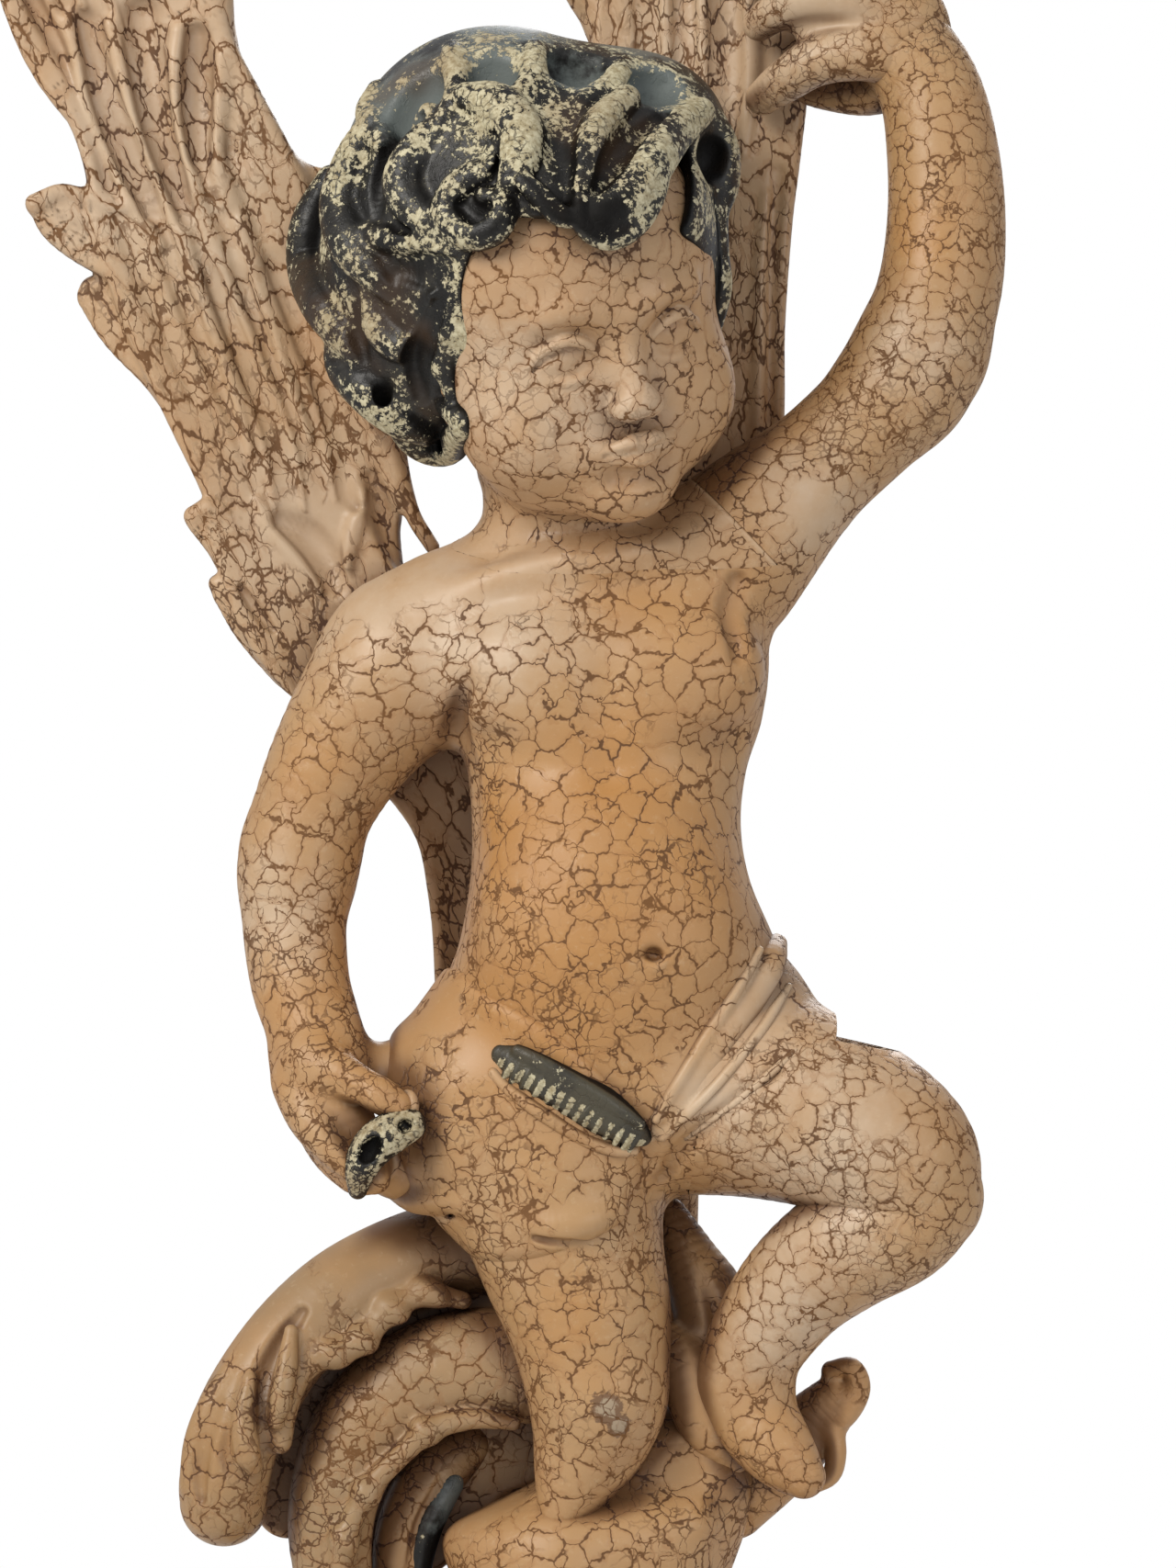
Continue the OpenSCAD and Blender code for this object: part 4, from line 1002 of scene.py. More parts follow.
def carve_figure(paint, arm_paint, face_paint, dark_paint):
    body = SHAPES["body"]
    carve("torso", body, 0.95, paint, ["torso_block"],
          region=Region([(NECK, (0, -0.38, 1))], [Region(RAISED_SHOULDER), LOWERED_ARM, STANDING_LEG,
                                                  BENT_LEG]),
          low=(-60, -50, 205), high=(62, 45, 396))
    carve("raised_arm", body, 0.95, arm_paint, ["raised_arm"], region=RAISED_ARM,
          low=(22, -30, 355), high=(120, 34, 545))
    carve("lowered_arm", body, 0.8, paint, ["lowered_arm"], region=LOWERED_ARM,
          low=(-102, -48, 205), high=(-36, 34, 385))
    carve("standing_leg", body, 0.95, paint, ["standing_leg"], region=STANDING_LEG,
          low=(-45, -45, 112), high=(30, 30, 218))
    carve("bent_thigh", body, 0.95, arm_paint, ["bent_thigh"], region=BENT_LEG,
          low=(28, -60, 185), high=(112, 34, 280))
    carve("bent_shin", SHAPES["shin"], 0.95, arm_paint, ["bent_shin"])
    carve("head", SHAPES["head"], 0.6, face_paint, ["head_block"], region=HEAD_PART,
          low=(-62, -78, 372), high=(49, 50, 512))
    carve("hair", SHAPES["hair"], 0.7, dark_paint, ["hair_relief"], slot="dark_paint", fine=3.0,
          crest_reach=7.0)
    carve("raised_hand", SHAPES["raised_hand"], 0.8, arm_paint, ["raised_hand"])


def raised_hand_clay():
    c = Clay()
    c.add(Egg((83.5, 9, 531), (15, 11, 18), (0, -32, 0)))
    c.add(Egg((70, 9, 531), (15, 7.5, 9), (0, 4, 0)), 4)
    for rows in ([(87, 6, 522, 9), (75, 3, 523, 8), (63, 5, 521, 7), (54, 11, 516, 6), (48, 18, 512, 4.8)],
                 [(86, 8, 534, 8.5), (72, 3, 538, 7.6), (60, 4, 538, 6.6), (52, 9, 535, 5.6),
                  (47, 16, 532, 4.6)],
                 [(82, 12, 545, 7.5), (69, 8, 550, 7), (59, 8, 549, 6.2), (52, 12, 546, 5.2),
                  (48, 17, 543, 4.4)],
                 [(76, 17, 552, 6.5), (67, 14, 558, 6), (59, 14, 557, 5.2), (53, 18, 554, 4.2)],
                 [(87, 13, 517, 7.6), (77, 19, 514, 6.8), (66, 24, 515, 5.8), (58, 28, 517, 4.8)]):
        c.add(Limb(rows), 3)
    return c


# ------------------------------------------------------------------ cloth

def drape_clay():
    body = SHAPES["body"]
    c = Clay()
    c.add(Thickened(body, 1.8, (-58, -56, 196), (22, 34, 266)))
    zone = Limb([(-30, -8, 252, 24), (-22, -10, 238, 33), (-16, -12, 226, 34)], depth=1.3)
    c.keep(zone, 3)
    c.cut(Limb(laid_on(c, [(-54, 207, 1.2), (-45, 206.5, 1.4), (-36, 208.5, 1.0)], 1)), 2)
    c.add(Limb(laid_on(c, [(-53, 214, 3.6), (-46, 211.5, 4.2), (-38, 212.5, 3.6), (-30, 210, 2.2)], 2.2)), 3)
    c.add(Limb(laid_on(c, [(-15, 206, 2.0), (-8, 205.5, 3.4), (0, 207, 3.8), (7, 209, 2.6)], 1.6)), 4)
    c.cut(Limb(laid_on(c, [(-14, 202.4, 0.7), (-4, 200.8, 1.3), (6.5, 202.2, 1.2), (13, 206.5, 0.7)], 0)),
          1.5)
    return c


def band_clay():
    body = SHAPES["body"]
    flat = laid_on(body, [(51, 280, 3.0), (48.5, 275, 4.6), (43, 267, 5.2), (35, 256, 5.2), (28, 246, 4.8),
                          (22, 237.5, 4.2), (17, 230, 2.4)], 0.8)
    c = Clay().add(Limb(flat, depth=0.5))
    c.add(Limb(laid_on(body, [(46, 279, 1.1), (39.5, 268, 1.4), (31.6, 256, 1.4), (24.8, 245, 1.3),
                              (18, 234, 1.0)], -1.6)), 2)
    c.add(Limb(laid_on(body, [(54, 269, 1.0), (47, 258.5, 1.5), (38, 247.5, 1.5), (29, 237.5, 1.3),
                              (20, 229, 0.9)], -0.4)), 2)
    c.add(Limb(laid_on(body, [(60, 257, 0.7), (52, 249.5, 1.2), (43, 241.5, 1.3), (34, 234.5, 1.1),
                              (26, 228.5, 0.7)], -0.2)), 2)
    return c


HEM_LINE = [(-22.5, 251, 3.4), (-17, 248.5, 5.2), (-8, 243.5, 6.2), (3, 236.8, 6.4), (10.5, 231.8, 4.8),
            (14.5, 229.2, 2.6)]


def hem_roll_clay():
    """A dark roll with bars across it; the plain ridge along its lower side is made separately by
    hem_ridge_clay.
    """
    body = Clay().add(Thickened(SHAPES["body"], 1.5, (-60, -60, 190), (40, 40, 280)))
    c = Clay().add(Limb(laid_on(body, HEM_LINE, 0.6), depth=0.75))
    along = smooth_curve(laid_on(body, HEM_LINE, 0.6), 8)
    c.add(Limb([(x + 1.3, y - 3.6, z + 2.6, r * 0.38) for x, y, z, r in along[4:-4:4]]), 1.2)
    for x, y, z, r in along[4:-2:3]:
        c.add(Limb([(x + 0.2, y - r * 0.5 - 0.6, z + 0.4, 1.0), (x - 1.4, y - r * 0.55, z - 2.6, 1.15),
                    (x - 2.6, y - r * 0.2, z - 4.8, 0.8)]), 0.5)
    return c


def hem_ridge_clay():
    body = Clay().add(Thickened(SHAPES["body"], 1.5, (-60, -60, 190), (40, 40, 280)))
    rows = [(x - 0.62 * r - 0.6, z - 1.08 * r - 1.0, 1.1 + 0.14 * r) for x, z, r in HEM_LINE]
    return Clay().add(Limb(laid_on(body, rows, -0.4)))


def hand_roll_clay():
    c = Clay()
    c.add(Limb([(-61.5, -33, 215, 2.6), (-60.5, -35.5, 221, 4.4), (-57.5, -37, 226.5, 5.6),
                (-52.5, -37.5, 230.5, 5.6),
                (-47.5, -37, 232.5, 4.4)]))
    c.cut(Egg((-58, -42, 226), (2.6, 4, 4.2), (0, 32, 0)), 1.5)
    c.cut(Egg((-48.5, -41.5, 232.5), (2.2, 3, 2)), 1.2)
    return c


# ------------------------------------------------------------------ foliage

def flat_rows(y, rows):
    return [(x, y, z, r) for x, z, r in rows]


def down_blade(blade, share, bottom, top, y, radius):
    """A line down a leaf at a share of its half width, thinning out at both ends."""
    rows = []
    heights = [row[1] for row in blade]
    for i in range(9):
        z = bottom + (top - bottom) * i / 8
        middle, half = (float(np.interp(z, heights, [row[j] for row in blade])) for j in (0, 2))
        lean_back = max(0.0, z - 536) * 0.2
        rows.append((middle + share * half, y - lean_back, z,
                     radius * (0.35 + 0.65 * math.sin(math.pi * i / 8))))
    return rows


def left_frond_clay():
    c = Clay()
    blade = [(-31, 262, 11, 34, 7), (-33.5, 292, 10.5, 34, 7), (-38.5, 318, 12.5, 34, 7),
             (-59, 350, 18, 34, 7),
             (-72.5, 372, 23.4, 34, 7), (-78, 392, 26, 34, 7), (-79.5, 412, 28.5, 34, 7),
             (-89, 436, 30, 34, 7),
             (-99, 460, 31, 34, 7), (-107, 482, 30, 34, 7), (-113, 500, 27, 34, 7), (-121, 518, 25.6, 34, 7),
             (-131, 536, 27.8, 33, 7), (-142, 562, 26, 28, 6.5), (-154, 580, 19, 19, 6), (-163, 588, 9, 8, 5)]
    c.add(Leaf(blade, edge=3, dish=3))
    # flutes and arrises that run its length
    for share, bottom, top in ((-0.74, 430, 575), (-0.44, 402, 578), (-0.14, 398, 578), (0.18, 404, 575),
                               (0.48, 410, 560)):
        c.cut(Limb(down_blade(blade, share, bottom, top, 24.6, 3.2)), 2.5)
    for share, bottom, top in ((-0.58, 415, 575), (-0.28, 396, 578), (0.02, 396, 578), (0.34, 402, 570)):
        c.add(Limb(down_blade(blade, share, bottom, top, 27.0, 1.1)), 1.6)
    # lobes down its outer edge
    c.add(Leaf([(-116, 470, 12, 33, 5), (-131, 475, 11.5, 31, 4.5), (-143, 479, 8.4, 28, 4),
                (-150.5, 482, 3.4, 25, 3)], 2), 3)
    c.add(Limb([(-152.5, 23, 483.5, 2.6), (-145, 25, 486.8, 2.3), (-137, 26, 484.6, 2.0),
                (-129, 26.5, 483, 1.8),
                (-122, 27, 485, 1.2)]), 2)
    c.add(Leaf([(-112, 440, 12, 34, 5), (-126, 450.5, 9.5, 33, 4.5), (-136.5, 458.5, 5, 34, 4)], 2), 3)
    c.add(Limb([(-138, 34, 461.5, 2.0), (-134, 35, 453, 2.6), (-128, 35, 444, 2.2)]), 2)
    c.add(Leaf([(-88, 384, 10, 33, 5), (-99, 392, 7.5, 31, 4.5), (-106, 396, 4.6, 28, 4)], 2), 3)
    c.add(Limb([(-109, 26, 397.5, 2.6), (-104, 25.5, 399.8, 2.4), (-99.5, 26.5, 396.5, 2.0),
                (-97, 27, 391, 1.4)]), 1.6)
    c.add(Leaf([(-80, 360, 10, 34, 5), (-91, 368, 7.5, 33, 5), (-99, 376, 4.6, 30, 4)], 2), 3)
    c.add(Limb([(-102.5, 28, 378.8, 2.4), (-97, 29, 371.6, 2.4), (-89, 30, 362, 2.0)]), 1.6)
    c.cut(Limb([(-95.8, 25.5, 377.5, 0.9), (-91, 25.5, 371, 1.8), (-87, 26, 366, 0.9)]), 1.6)
    # ridges that run its length, with flutes between
    front = 26.6
    for rows in ([(-143, 534.3, 1.8), (-139, 515.8, 1.9), (-132, 497.5, 1.8), (-126.3, 484.8, 1.5),
                  (-118, 472.3, 1.0)],
                 [(-132, 533, 2.0), (-129.3, 524, 2.1), (-125, 509.3, 2.1), (-120, 496.8, 2.0),
                  (-113.3, 480, 1.7),
                  (-108.3, 463.5, 1.4), (-103.3, 448.5, 1.2), (-98.3, 434.3, 1.0), (-93, 415, 0.7)],
                 [(-113, 531, 2.4), (-114, 519, 2.4), (-113.5, 508.8, 2.0), (-111.5, 497.5, 1.4),
                  (-108, 486, 0.8)],
                 [(-101, 524, 2.6), (-102, 509, 2.4), (-102, 495, 1.6), (-100, 484, 0.8)],
                 [(-96, 478, 0.7), (-91, 460, 1.2), (-87, 450, 1.3), (-83.3, 438, 1.2), (-77, 419, 0.8)],
                 [(-76, 470, 1.4), (-73, 455, 2.0), (-69, 443, 2.0), (-62, 427, 1.6), (-56, 416, 1.0)],
                 [(-91, 402, 0.8), (-87, 394, 1.8), (-79, 384, 1.6), (-74, 377, 0.8)],
                 [(-61, 404, 1.0), (-64, 395, 2.2), (-67, 384, 1.8)]):
        c.add(Limb(flat_rows(front, rows)), 3)
    for rows in ([(-138, 534, 2.6), (-134, 512, 2.8), (-128, 496, 2.4), (-121, 481, 1.2)],
                 [(-123, 536, 4.6), (-121, 514, 4.4), (-117, 498, 3.6), (-111, 480, 1.8)],
                 [(-107, 530, 3.4), (-108, 512, 3.6), (-107, 497, 2.0)],
                 [(-84, 396, 2.4), (-77, 392, 4.2), (-72, 385, 3.6), (-70, 378, 2.0)],
                 [(-59.5, 408, 1.6), (-56, 396, 3.6), (-50.5, 385, 3.2), (-45, 380, 1.6)],
                 [(-68, 412, 0.6), (-67, 404, 0.9), (-64, 400, 0.6)]):
        c.cut(Limb(flat_rows(front - 0.6, rows)), 3.5)
    c.add(Limb([(-52, 28, 416, 1.6), (-50.5, 27, 405, 2.2), (-48, 27.5, 397, 2.2), (-43, 28, 389, 2.0)]), 2)
    # where its right edge sweeps over to the head
    c.add(Leaf([(-96, 480, 14, 35, 6), (-82, 486, 8, 35, 6), (-70, 488, 6, 35, 6), (-56, 488, 6, 35, 6)],
               2.5), 7)
    c.add(Limb([(-112, 24, 571, 2), (-106, 20, 558, 4), (-102, 26, 544, 4), (-102, 30, 531, 3.4)],
               depth=0.8), 5)
    return c


def right_frond_clay():
    c = Clay()
    c.add(Leaf([(22, 356, 20, 34, 7), (25, 384, 24, 34, 7), (27.6, 420, 26.4, 34, 7),
                (27.9, 450, 26.6, 34, 7),
                (28.8, 480, 27.8, 34, 7), (30, 500, 29, 34, 7), (31, 520, 30, 34, 7), (31, 540, 29, 34, 7),
                (32, 566, 26, 30, 7), (36, 585, 18, 23, 6), (40, 593, 9, 12, 5)], edge=3.2, dish=2))
    for rows in ([(45, 560, 2.2), (45, 536, 2.6), (45, 515, 2.2), (43, 498, 1.2)],
                 [(31, 566, 1.6), (31.5, 536, 1.4), (32, 505, 1.0)],
                 [(21.5, 566, 1.6), (21.5, 540, 1.6), (22, 520, 1.0)],
                 [(8, 566, 2.0), (9, 545, 2.2), (12, 526, 1.4)],
                 [(50, 486, 0.8), (48.5, 465, 1.6), (48, 440, 1.6), (47, 416, 1.0)]):
        c.add(Limb(flat_rows(26.4, rows)), 3)
    for rows in ([(38, 562, 2.2), (38, 540, 2.6), (38.5, 518, 2.0), (38, 500, 1.0)],
                 [(26, 560, 1.6), (26.5, 540, 1.8), (27, 516, 1.0)],
                 [(52.5, 492, 0.8), (51, 470, 1.0), (50.5, 440, 1.0), (50, 424, 0.6)]):
        c.cut(Limb(flat_rows(25.8, rows)), 3.5)
    c.add(Limb([(2, 24, 572, 3), (-4, 24, 560, 5), (-3, 30, 546, 5), (3, 33, 534, 4)], depth=0.8), 5)
    c.add(Limb([(62, 26, 572, 3), (64, 24, 562, 4.5), (60, 29, 550, 4.5), (54, 32, 540, 4)], depth=0.8), 5)
    return c


def trunk_clay():
    return Clay().add(Stack([(96, 8, 21, 36, 11), (140, 12, 21, 36, 11), (190, 11.5, 19, 36, 11),
                             (240, 4, 27, 36, 11),
                             (290, 0, 27, 36, 11), (330, 0, 27, 36, 11), (356, 2, 25, 36, 11)], 3.0))


def outer_scroll_clay():
    c = Clay()
    c.add(Limb([(-20, 12, 200, 13), (-40, 10, 196, 13), (-56, 5, 190, 13.2), (-69.5, -1, 182, 13.2),
                (-83, -6, 169.5, 12.4), (-93.5, -9, 152, 12.8), (-98, -10, 136, 12.4), (-98.5, -9, 129, 12)]))
    # lip along the lower edge, rolled over
    c.add(Limb([(-34, -2, 183, 2.4), (-44, -5, 185, 3.2), (-53, -8, 181.5, 3.4), (-60, -11, 174.5, 3.6),
                (-66, -13, 170.5, 3.8), (-73, -14, 168.5, 3.6), (-79, -15, 163, 3.6), (-82, -16, 155, 3.8),
                (-83, -17, 146, 3.2)]), 3)
    for place, size in (((-61, -12, 173), (4.6, 4.6, 3.4)), ((-69, -14, 169.5), (4.8, 4.6, 3.6)),
                        ((-53, -9, 181), (5, 4.2, 3.6)), ((-43, -6, 185.5), (5.4, 4.0, 3.4))):
        c.add(Egg(place, size, (0, 30, 0)), 2.5)
    # deep slots, and the tongues between them
    c.cut(Limb([(-77, -15, 181, 1.0), (-83, -19, 172.5, 3.0), (-87, -21, 163, 3.2), (-88, -22, 154, 1.6)]),
          2.2)
    c.cut(Limb([(-100, -20, 157, 1.0), (-103.5, -21, 148, 2.6), (-105, -20.5, 139, 2.8),
                (-104, -20, 131, 1.2)]), 2.0)
    c.cut(Limb([(-96.5, -23, 150, 0.9), (-97.5, -23.5, 144, 2.0), (-96, -23, 138, 1.0)]), 1.8)
    c.add(Limb([(-80, -18, 176, 1.8), (-81, -20.5, 167, 3.0), (-82.5, -22, 158, 3.2),
                (-84, -21.5, 152, 2.2)]), 2.2)
    c.add(Limb([(-91, -20, 163, 1.8), (-92.5, -22.5, 153, 3.2), (-91.5, -24, 144, 3.6),
                (-90, -23, 140, 2.6)]), 2.2)
    c.add(Limb([(-94, -13, 168, 1.4), (-102, -15, 158, 1.8), (-107, -15, 146, 1.8), (-108, -15, 134, 1.4)]),
          3)
    c.cut(Limb([(-86.5, -4, 163, 2), (-87, -6, 148, 4), (-86, -6, 134, 4), (-86, -4, 124, 2)]), 4)
    # the wall left standing between the two scrolls
    c.add(Leaf([(-28, 184, 12, 17, 5), (-48, 182, 13, 17, 5), (-66, 172, 13, 16, 5), (-79, 156, 13, 14, 5),
                (-83, 140, 12, 13, 5), (-82, 126, 9, 12, 5)]), 3)
    return c


def inner_scroll_clay():
    c = Clay()
    c.add(Limb([(-8, 4, 161, 13), (-25, 4, 165, 15.6), (-43.5, 3, 161.5, 15.4), (-59.5, 1, 149.5, 14.4),
                (-68, -1, 133.5, 12.6), (-70, -1, 116, 11.2), (-66, -1, 99, 9.5), (-55, -2, 90, 8.5),
                (-45, -2, 95, 6)]))
    c.cut(Limb([(-24, -2, 141, 5), (-38, -6, 139, 6.5), (-50, -9, 131, 6), (-57, -10, 119, 5),
                (-58, -9, 106, 4)]), 4)
    c.add(Limb([(-20, -7, 150, 1.8), (-31, -9.5, 151.5, 2.8), (-42, -11, 149, 3.2), (-50, -12, 142.5, 3.0),
                (-58, -13, 134.5, 3.2), (-63.5, -13, 125, 3.0), (-66.5, -12.5, 115, 3.2),
                (-66, -11.5, 104, 2.8)]), 2.5)
    for place in ((-44, -12, 148.5), (-60, -14, 132), (-66, -13.5, 119)):
        c.add(Egg(place, (4.4, 3.6, 3.2), (0, 40, 0)), 2.5)
    c.cut(Limb([(-18, -10, 175, 0.8), (-15.5, -13, 169, 1.7), (-16.5, -13, 161, 0.9)]), 1.8)
    c.add(Leaf([(-20, 146, 16, 17, 5), (-34, 140, 17, 17, 5), (-45, 126, 17, 17, 5), (-55, 110, 11, 17, 5),
                (-55, 97, 8, 17, 5)]), 3)
    return c


TENDRIL = [(-33, 16, 142, 7), (-43, 11, 133, 8.4), (-49, 8, 121, 8.6), (-51, 7, 107, 7.6), (-47, 8, 95, 6)]


def tendril_clay():
    c = Clay().add(Limb(TENDRIL))
    c.cut(Limb([(-40, 3, 134, 0.8), (-46, 0, 122, 1.2), (-49, -1, 108, 0.8)]), 1.5)
    return c


def tendril_edge_clay():
    """The strip down the right of the tendril that kept its dark paint."""
    strip = [(x + 0.55 * r, y - 0.35 * r, z - 0.1 * r, 0.52 * r) for x, y, z, r in TENDRIL[1:]]
    return Clay().add(Limb(strip))


def foot_leaf_clay():
    c = Clay()
    c.add(Limb([(40, 8, 126, 9), (51.5, 6, 138, 10), (61, 4, 148.5, 9), (68, 2, 156, 7)], depth=0.8))
    c.add(Limb([(66, 0, 164, 2.4), (71.5, -2, 164.5, 3.0), (73.6, -2, 159, 3.2), (70.5, -2, 152.5, 3.0),
                (67, -1, 149, 2.6),
                (67.5, -2, 142, 2.8), (66, -2, 135.5, 2.6), (60, -1, 132, 2.2)]), 3)
    c.cut(Limb([(64, -5, 158, 1.2), (63, -7, 150, 1.6), (61, -7, 140, 1.2)]), 2)
    # the lobe beside the heel, and the leaf behind it up to the thigh
    c.add(Limb([(23, 10, 206, 4), (28, 7, 193, 8), (34, 4, 180, 11), (38, 1, 164, 11)], depth=0.8), 5)
    c.cut(Limb([(31, -4, 190, 0.8), (35, -6, 178, 1.6), (35, -9, 166, 1.0)]), 2.5)
    c.add(Limb([(21, -2, 172, 5), (28, -6, 162, 8.5), (33, -7, 150, 8.5), (38, -4, 141, 6)], depth=0.8), 4)
    c.cut(Limb([(27, -13, 174, 0.9), (33, -14, 163, 1.5), (39, -13, 153, 1.3), (41, -10, 146, 0.8)]), 1.6)
    return c


def console_clay():
    c = Clay()
    c.add(Stack([(62, 2, 27, 4, 25), (78, 0, 27, 4, 25), (98, -1, 34, 4, 28), (112, 0, 37, 4, 28),
                 (122, 2, 37, 5, 26), (132, 12, 28, 7, 20), (145, 20, 15, 9, 16)], 2.3))
    c.add(Limb([(-9, -10, 126, 7), (-8, -13, 112, 13), (-5, -12, 96, 16)]), 8)
    c.add(Limb([(20, 4, 146, 9), (31, 2, 139, 12), (35, 4, 130, 10), (30, 6, 116, 10), (22, 6, 104, 12)]), 8)
    c.add(Limb([(-33, 0, 116, 5), (-22, -10, 117, 6), (-10, -16, 117, 6), (8, -16, 120, 6),
                (26, -10, 124, 6)]), 8)
    c.cut(Limb([(-34, -16, 106, 1.0), (-18, -27, 104, 1.8), (2, -30, 106, 1.8), (22, -27, 108, 1.4),
                (36, -17, 110, 0.8)]), 4)
    c.cut(Egg((25, -24, 137), (11, 12, 9)), 5)
    for i in range(5):
        x = -24 + 12 * i
        c.cut(Limb([(x * 0.9, -30, 98, 0.6), (x * 0.75, -27, 84, 1.6), (x * 0.7, -25, 70, 1.0)]), 3)
    return c


def collar_clay():
    """A ring of small upright leaves round the foot of the block."""
    c = Clay()
    leaves = 10
    for i in range(leaves):
        a = 2 * math.pi * (i + 0.5) / leaves
        ca, sa = math.cos(a), math.sin(a)
        rows = [(24, 64, 9), (30, 72, 9.5), (34, 82, 7.5), (38, 88, 4.5), (41, 88, 2.6)]
        c.add(Limb([(r * ca, 4 + r * sa, z, w * 0.72) for r, z, w in rows]), 2)
        for turn in (-0.17, 0.17):
            cb, sb = math.cos(a + turn), math.sin(a + turn)
            c.cut(Limb([((r + 7) * cb, 4 + (r + 7) * sb, z, w) for r, z, w in
                        [(25, 66, 0.5), (30, 74, 1.1), (33, 82, 0.6)]]), 1.5)
    c.add(Egg((0, 4, 66), (30, 30, 8)), 3)
    c.keep(Plate([((0, 0, 62.2), (0, 0, -1))], (-80, -80, 60), (80, 80, 100)), 0.5)
    return c


SHAPES = {}


def gather_shapes():
    SHAPES["body"] = body_clay()
    SHAPES["shin"] = shin_clay()
    SHAPES["head"] = head_and_neck()
    SHAPES["hair"] = hair_clay()
    for name, make in (("tendril_edge", tendril_edge_clay), ("drape", drape_clay), ("band", band_clay),
                       ("hem_roll", hem_roll_clay),
                       ("hem_ridge", hem_ridge_clay), ("hand_roll", hand_roll_clay),
                       ("raised_hand", raised_hand_clay),
                       ("left_frond", left_frond_clay), ("right_frond", right_frond_clay),
                       ("trunk", trunk_clay),
                       ("outer_scroll", outer_scroll_clay), ("inner_scroll", inner_scroll_clay),
                       ("tendril", tendril_clay), ("foot_leaf", foot_leaf_clay), ("console", console_clay),
                       ("collar", collar_clay)):
        SHAPES[name] = make()


# ------------------------------------------------------------------ scene

def lamp(name, place, target, size, watts, colour):
    light = bpy.data.lights.new(name, "AREA")
    light.shape, light.size, light.energy, light.color = "DISK", size, watts, colour
    obj = bpy.data.objects.new(name, light)
    bpy.context.scene.collection.objects.link(obj)
    obj.location = place
    obj.rotation_euler = (Vector(target) - Vector(place)).to_track_quat("-Z", "Y").to_euler()


def studio():
    scene = bpy.context.scene
    scene.view_settings.view_transform = "Standard"
    world = bpy.data.worlds.new("studio")
    scene.world = world
    world.use_nodes = True
    tree = world.node_tree
    tree.nodes.clear()
    out = tree.nodes.new("ShaderNodeOutputWorld")
    shown, lit = tree.nodes.new("ShaderNodeBackground"), tree.nodes.new("ShaderNodeBackground")
    shown.inputs[0].default_value = (1, 1, 1, 1)
    lit.inputs[0].default_value = (0.92, 0.95, 1.0, 1)
    lit.inputs[1].default_value = 0.5
    path, mix = tree.nodes.new("ShaderNodeLightPath"), tree.nodes.new("ShaderNodeMixShader")
    tree.links.new(path.outputs["Is Camera Ray"], mix.inputs[0])
    tree.links.new(lit.outputs[0], mix.inputs[1])
    tree.links.new(shown.outputs[0], mix.inputs[2])
    tree.links.new(mix.outputs[0], out.inputs[0])
    lamp("key", (-0.95, -1.1, 1.15), (0, 0, 0.33), 0.85, 18, (1.0, 0.97, 0.92))
    lamp("fill", (1.0, -1.4, 0.6), (0, 0, 0.35), 0.9, 4.6, (0.96, 0.97, 1.0))
    lamp("back", (0.3, 1.2, 1.0), (0, 0, 0.35), 0.8, 6, (1.0, 1.0, 1.0))


def pale_floor():
    """A pale disc that fades out into the white room."""
    rings, spokes, radius = 24, 96, 0.75
    p = [(0, 0, 0)] + [(radius * 1000 * r / rings * math.cos(2 * math.pi * a / spokes),
                        radius * 1000 * r / rings * math.sin(2 * math.pi * a / spokes), 0)
                       for r in range(1, rings + 1) for a in range(spokes)]
    faces = [(0, 1 + a, 1 + (a + 1) % spokes) for a in range(spokes)]
    for r in range(rings - 1):
        for a in range(spokes):
            i, j = 1 + r * spokes + a, 1 + r * spokes + (a + 1) % spokes
            faces.append((i, i + spokes, j + spokes, j))
    mesh = bpy.data.meshes.new("floor")
    mesh.from_pydata([tuple(v * MM for v in q) for q in p], [], faces)
    floor = bpy.data.objects.new("floor", mesh)
    bpy.context.scene.collection.objects.link(floor)
    t = Tree("floor")
    here = t.new("TexCoord", out=3)
    fade = t.ramp(t.new("VectorMath", out=1, props={"operation": "LENGTH"}, i0=here), 0.3, radius * 0.98)
    grey = t.noise(here, 3.0, 2.0)
    t.put(t.shader.inputs["Base Color"], t.mix(grey, (0.83, 0.83, 0.82, 1), (0.87, 0.87, 0.86, 1)))
    t.shader.inputs["Roughness"].default_value = 0.8
    t.put(t.shader.inputs["Alpha"], t.math("SUBTRACT", 1.0, fade))
    mesh.materials.append(t.material)


def photo_camera():
    """Level, straight in front, framing the figure from the scrolls to the fronds."""
    distance, frame_height, middle = 1.8, 0.42675, 0.3234
    camera = bpy.data.cameras.new("camera")
    camera.sensor_fit, camera.sensor_height = "VERTICAL", 36.0
    camera.lens = 36.0 * distance / frame_height
    camera.clip_start, camera.clip_end = 0.05, 20
    obj = bpy.data.objects.new("camera", camera)
    bpy.context.scene.collection.objects.link(obj)
    obj.location, obj.rotation_euler = (0, -distance, middle), (math.pi / 2, 0, 0)
    bpy.context.scene.camera = obj


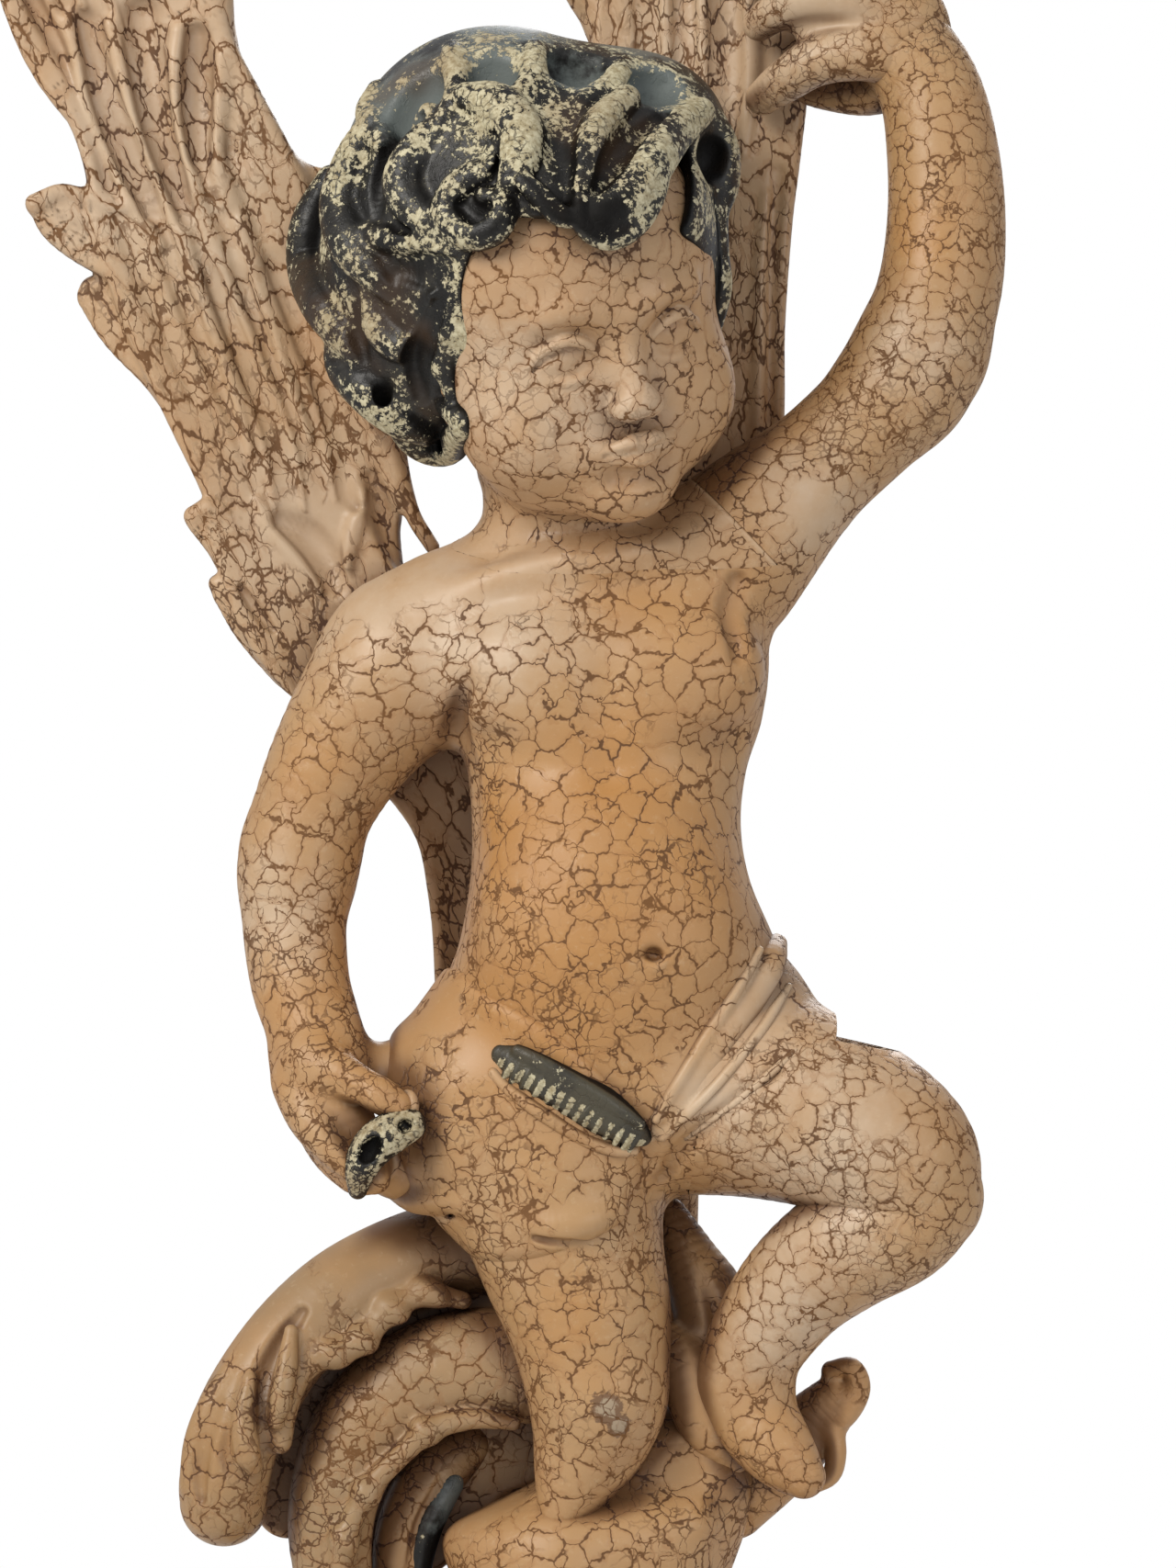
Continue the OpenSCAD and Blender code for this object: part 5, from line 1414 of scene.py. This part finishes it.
def main():
    global SURROUND
    photo_camera()
    studio()
    pale_floor()
    paint = crackled_paint("crackled_paint")
    arm_paint = crackled_paint("fine_crackled_paint", cell=5.4, width=0.33, dense=0.7)
    flaked = worn_dark_paint("flaked_dark_paint", cover=0.1)
    barred = worn_dark_paint("barred_dark_paint", cover=0.46, wear=3.0, dark=(78, 72, 56))
    dark_paint = worn_dark_paint("worn_dark_paint")
    # fade on the fronds and the face lifts them toward the pale highlight colour, partly painted light
    frond_paint = crackled_paint("frond_paint", cell=6.0, stretch=(1, 1, 1.7), turn=(0, -22, 0), dirt_and_shade=0.6,
                                 fade=0.3)
    upright_paint = crackled_paint("upright_frond_paint", cell=6.4, stretch=(1, 1, 1.8), dirt_and_shade=0.1, fade=0.3)
    face_paint = crackled_paint("face_paint", cell=6.8, width=0.36, dense=0.45, dirt_and_shade=0.3, fade=0.2)
    scroll_paint = crackled_paint("scroll_paint", shade=0.6)
    gather_shapes()
    SURROUND = Surround(list(SHAPES.values()), (-185, -80, 55), (125, 70, 625))
    carve_figure(paint, arm_paint, face_paint, dark_paint)
    for name, voxel, look, nodes, slot in (
            ("drape", 0.9, paint, ["loincloth_drape"], "carved_paint"),
            ("band", 0.9, paint, ["loincloth_band"], "carved_paint"),
            ("hem_roll", 0.5, barred, ["hem_roll"], "dark_paint"),
            ("hem_ridge", 0.6, paint, ["hem_roll"], "carved_paint"),
            ("hand_roll", 0.5, dark_paint, ["hand_roll"], "dark_paint"),
            ("left_frond", 0.9, frond_paint, ["left_frond"], "carved_paint"),
            ("right_frond", 0.9, upright_paint, ["right_frond"], "carved_paint"),
            ("trunk", 1.4, paint, ["back_trunk"], "carved_paint"),
            ("outer_scroll", 0.8, scroll_paint, ["outer_scroll_leaf"], "carved_paint"),
            ("inner_scroll", 0.8, scroll_paint, ["inner_scroll_leaf"], "carved_paint"),
            ("tendril", 0.8, scroll_paint, ["dark_tendril"], "carved_paint"),
            ("tendril_edge", 0.6, flaked, ["dark_tendril"], "dark_paint"),
            ("foot_leaf", 0.8, paint, ["foot_leaf"], "carved_paint"),
            ("console", 1.0, paint, ["console_block"], "carved_paint"),
            ("collar", 0.9, paint, ["leaf_collar"], "carved_paint")):
        carve(name, SHAPES[name], voxel, look, nodes, slot)
    oak = bare_wood("base_oak", (150, 104, 62), (112, 72, 40), 0.38)
    beech = bare_wood("dowel_beech", (206, 172, 124), (184, 146, 98), 0.6)
    steel, felt = plain_steel("plain_steel"), wool_felt("wool_felt")
    looks = {"carved_paint": paint, "dark_paint": dark_paint, "base_wood": oak, "dowel_wood": beech,
             "steel": steel, "felt": felt}
    for part in frame["record"]["subparts"]:
        node = frame["nodes"][part["node"]]
        node.data.materials.clear()
        node.data.materials.append(looks[part["material_slot"]])


main()
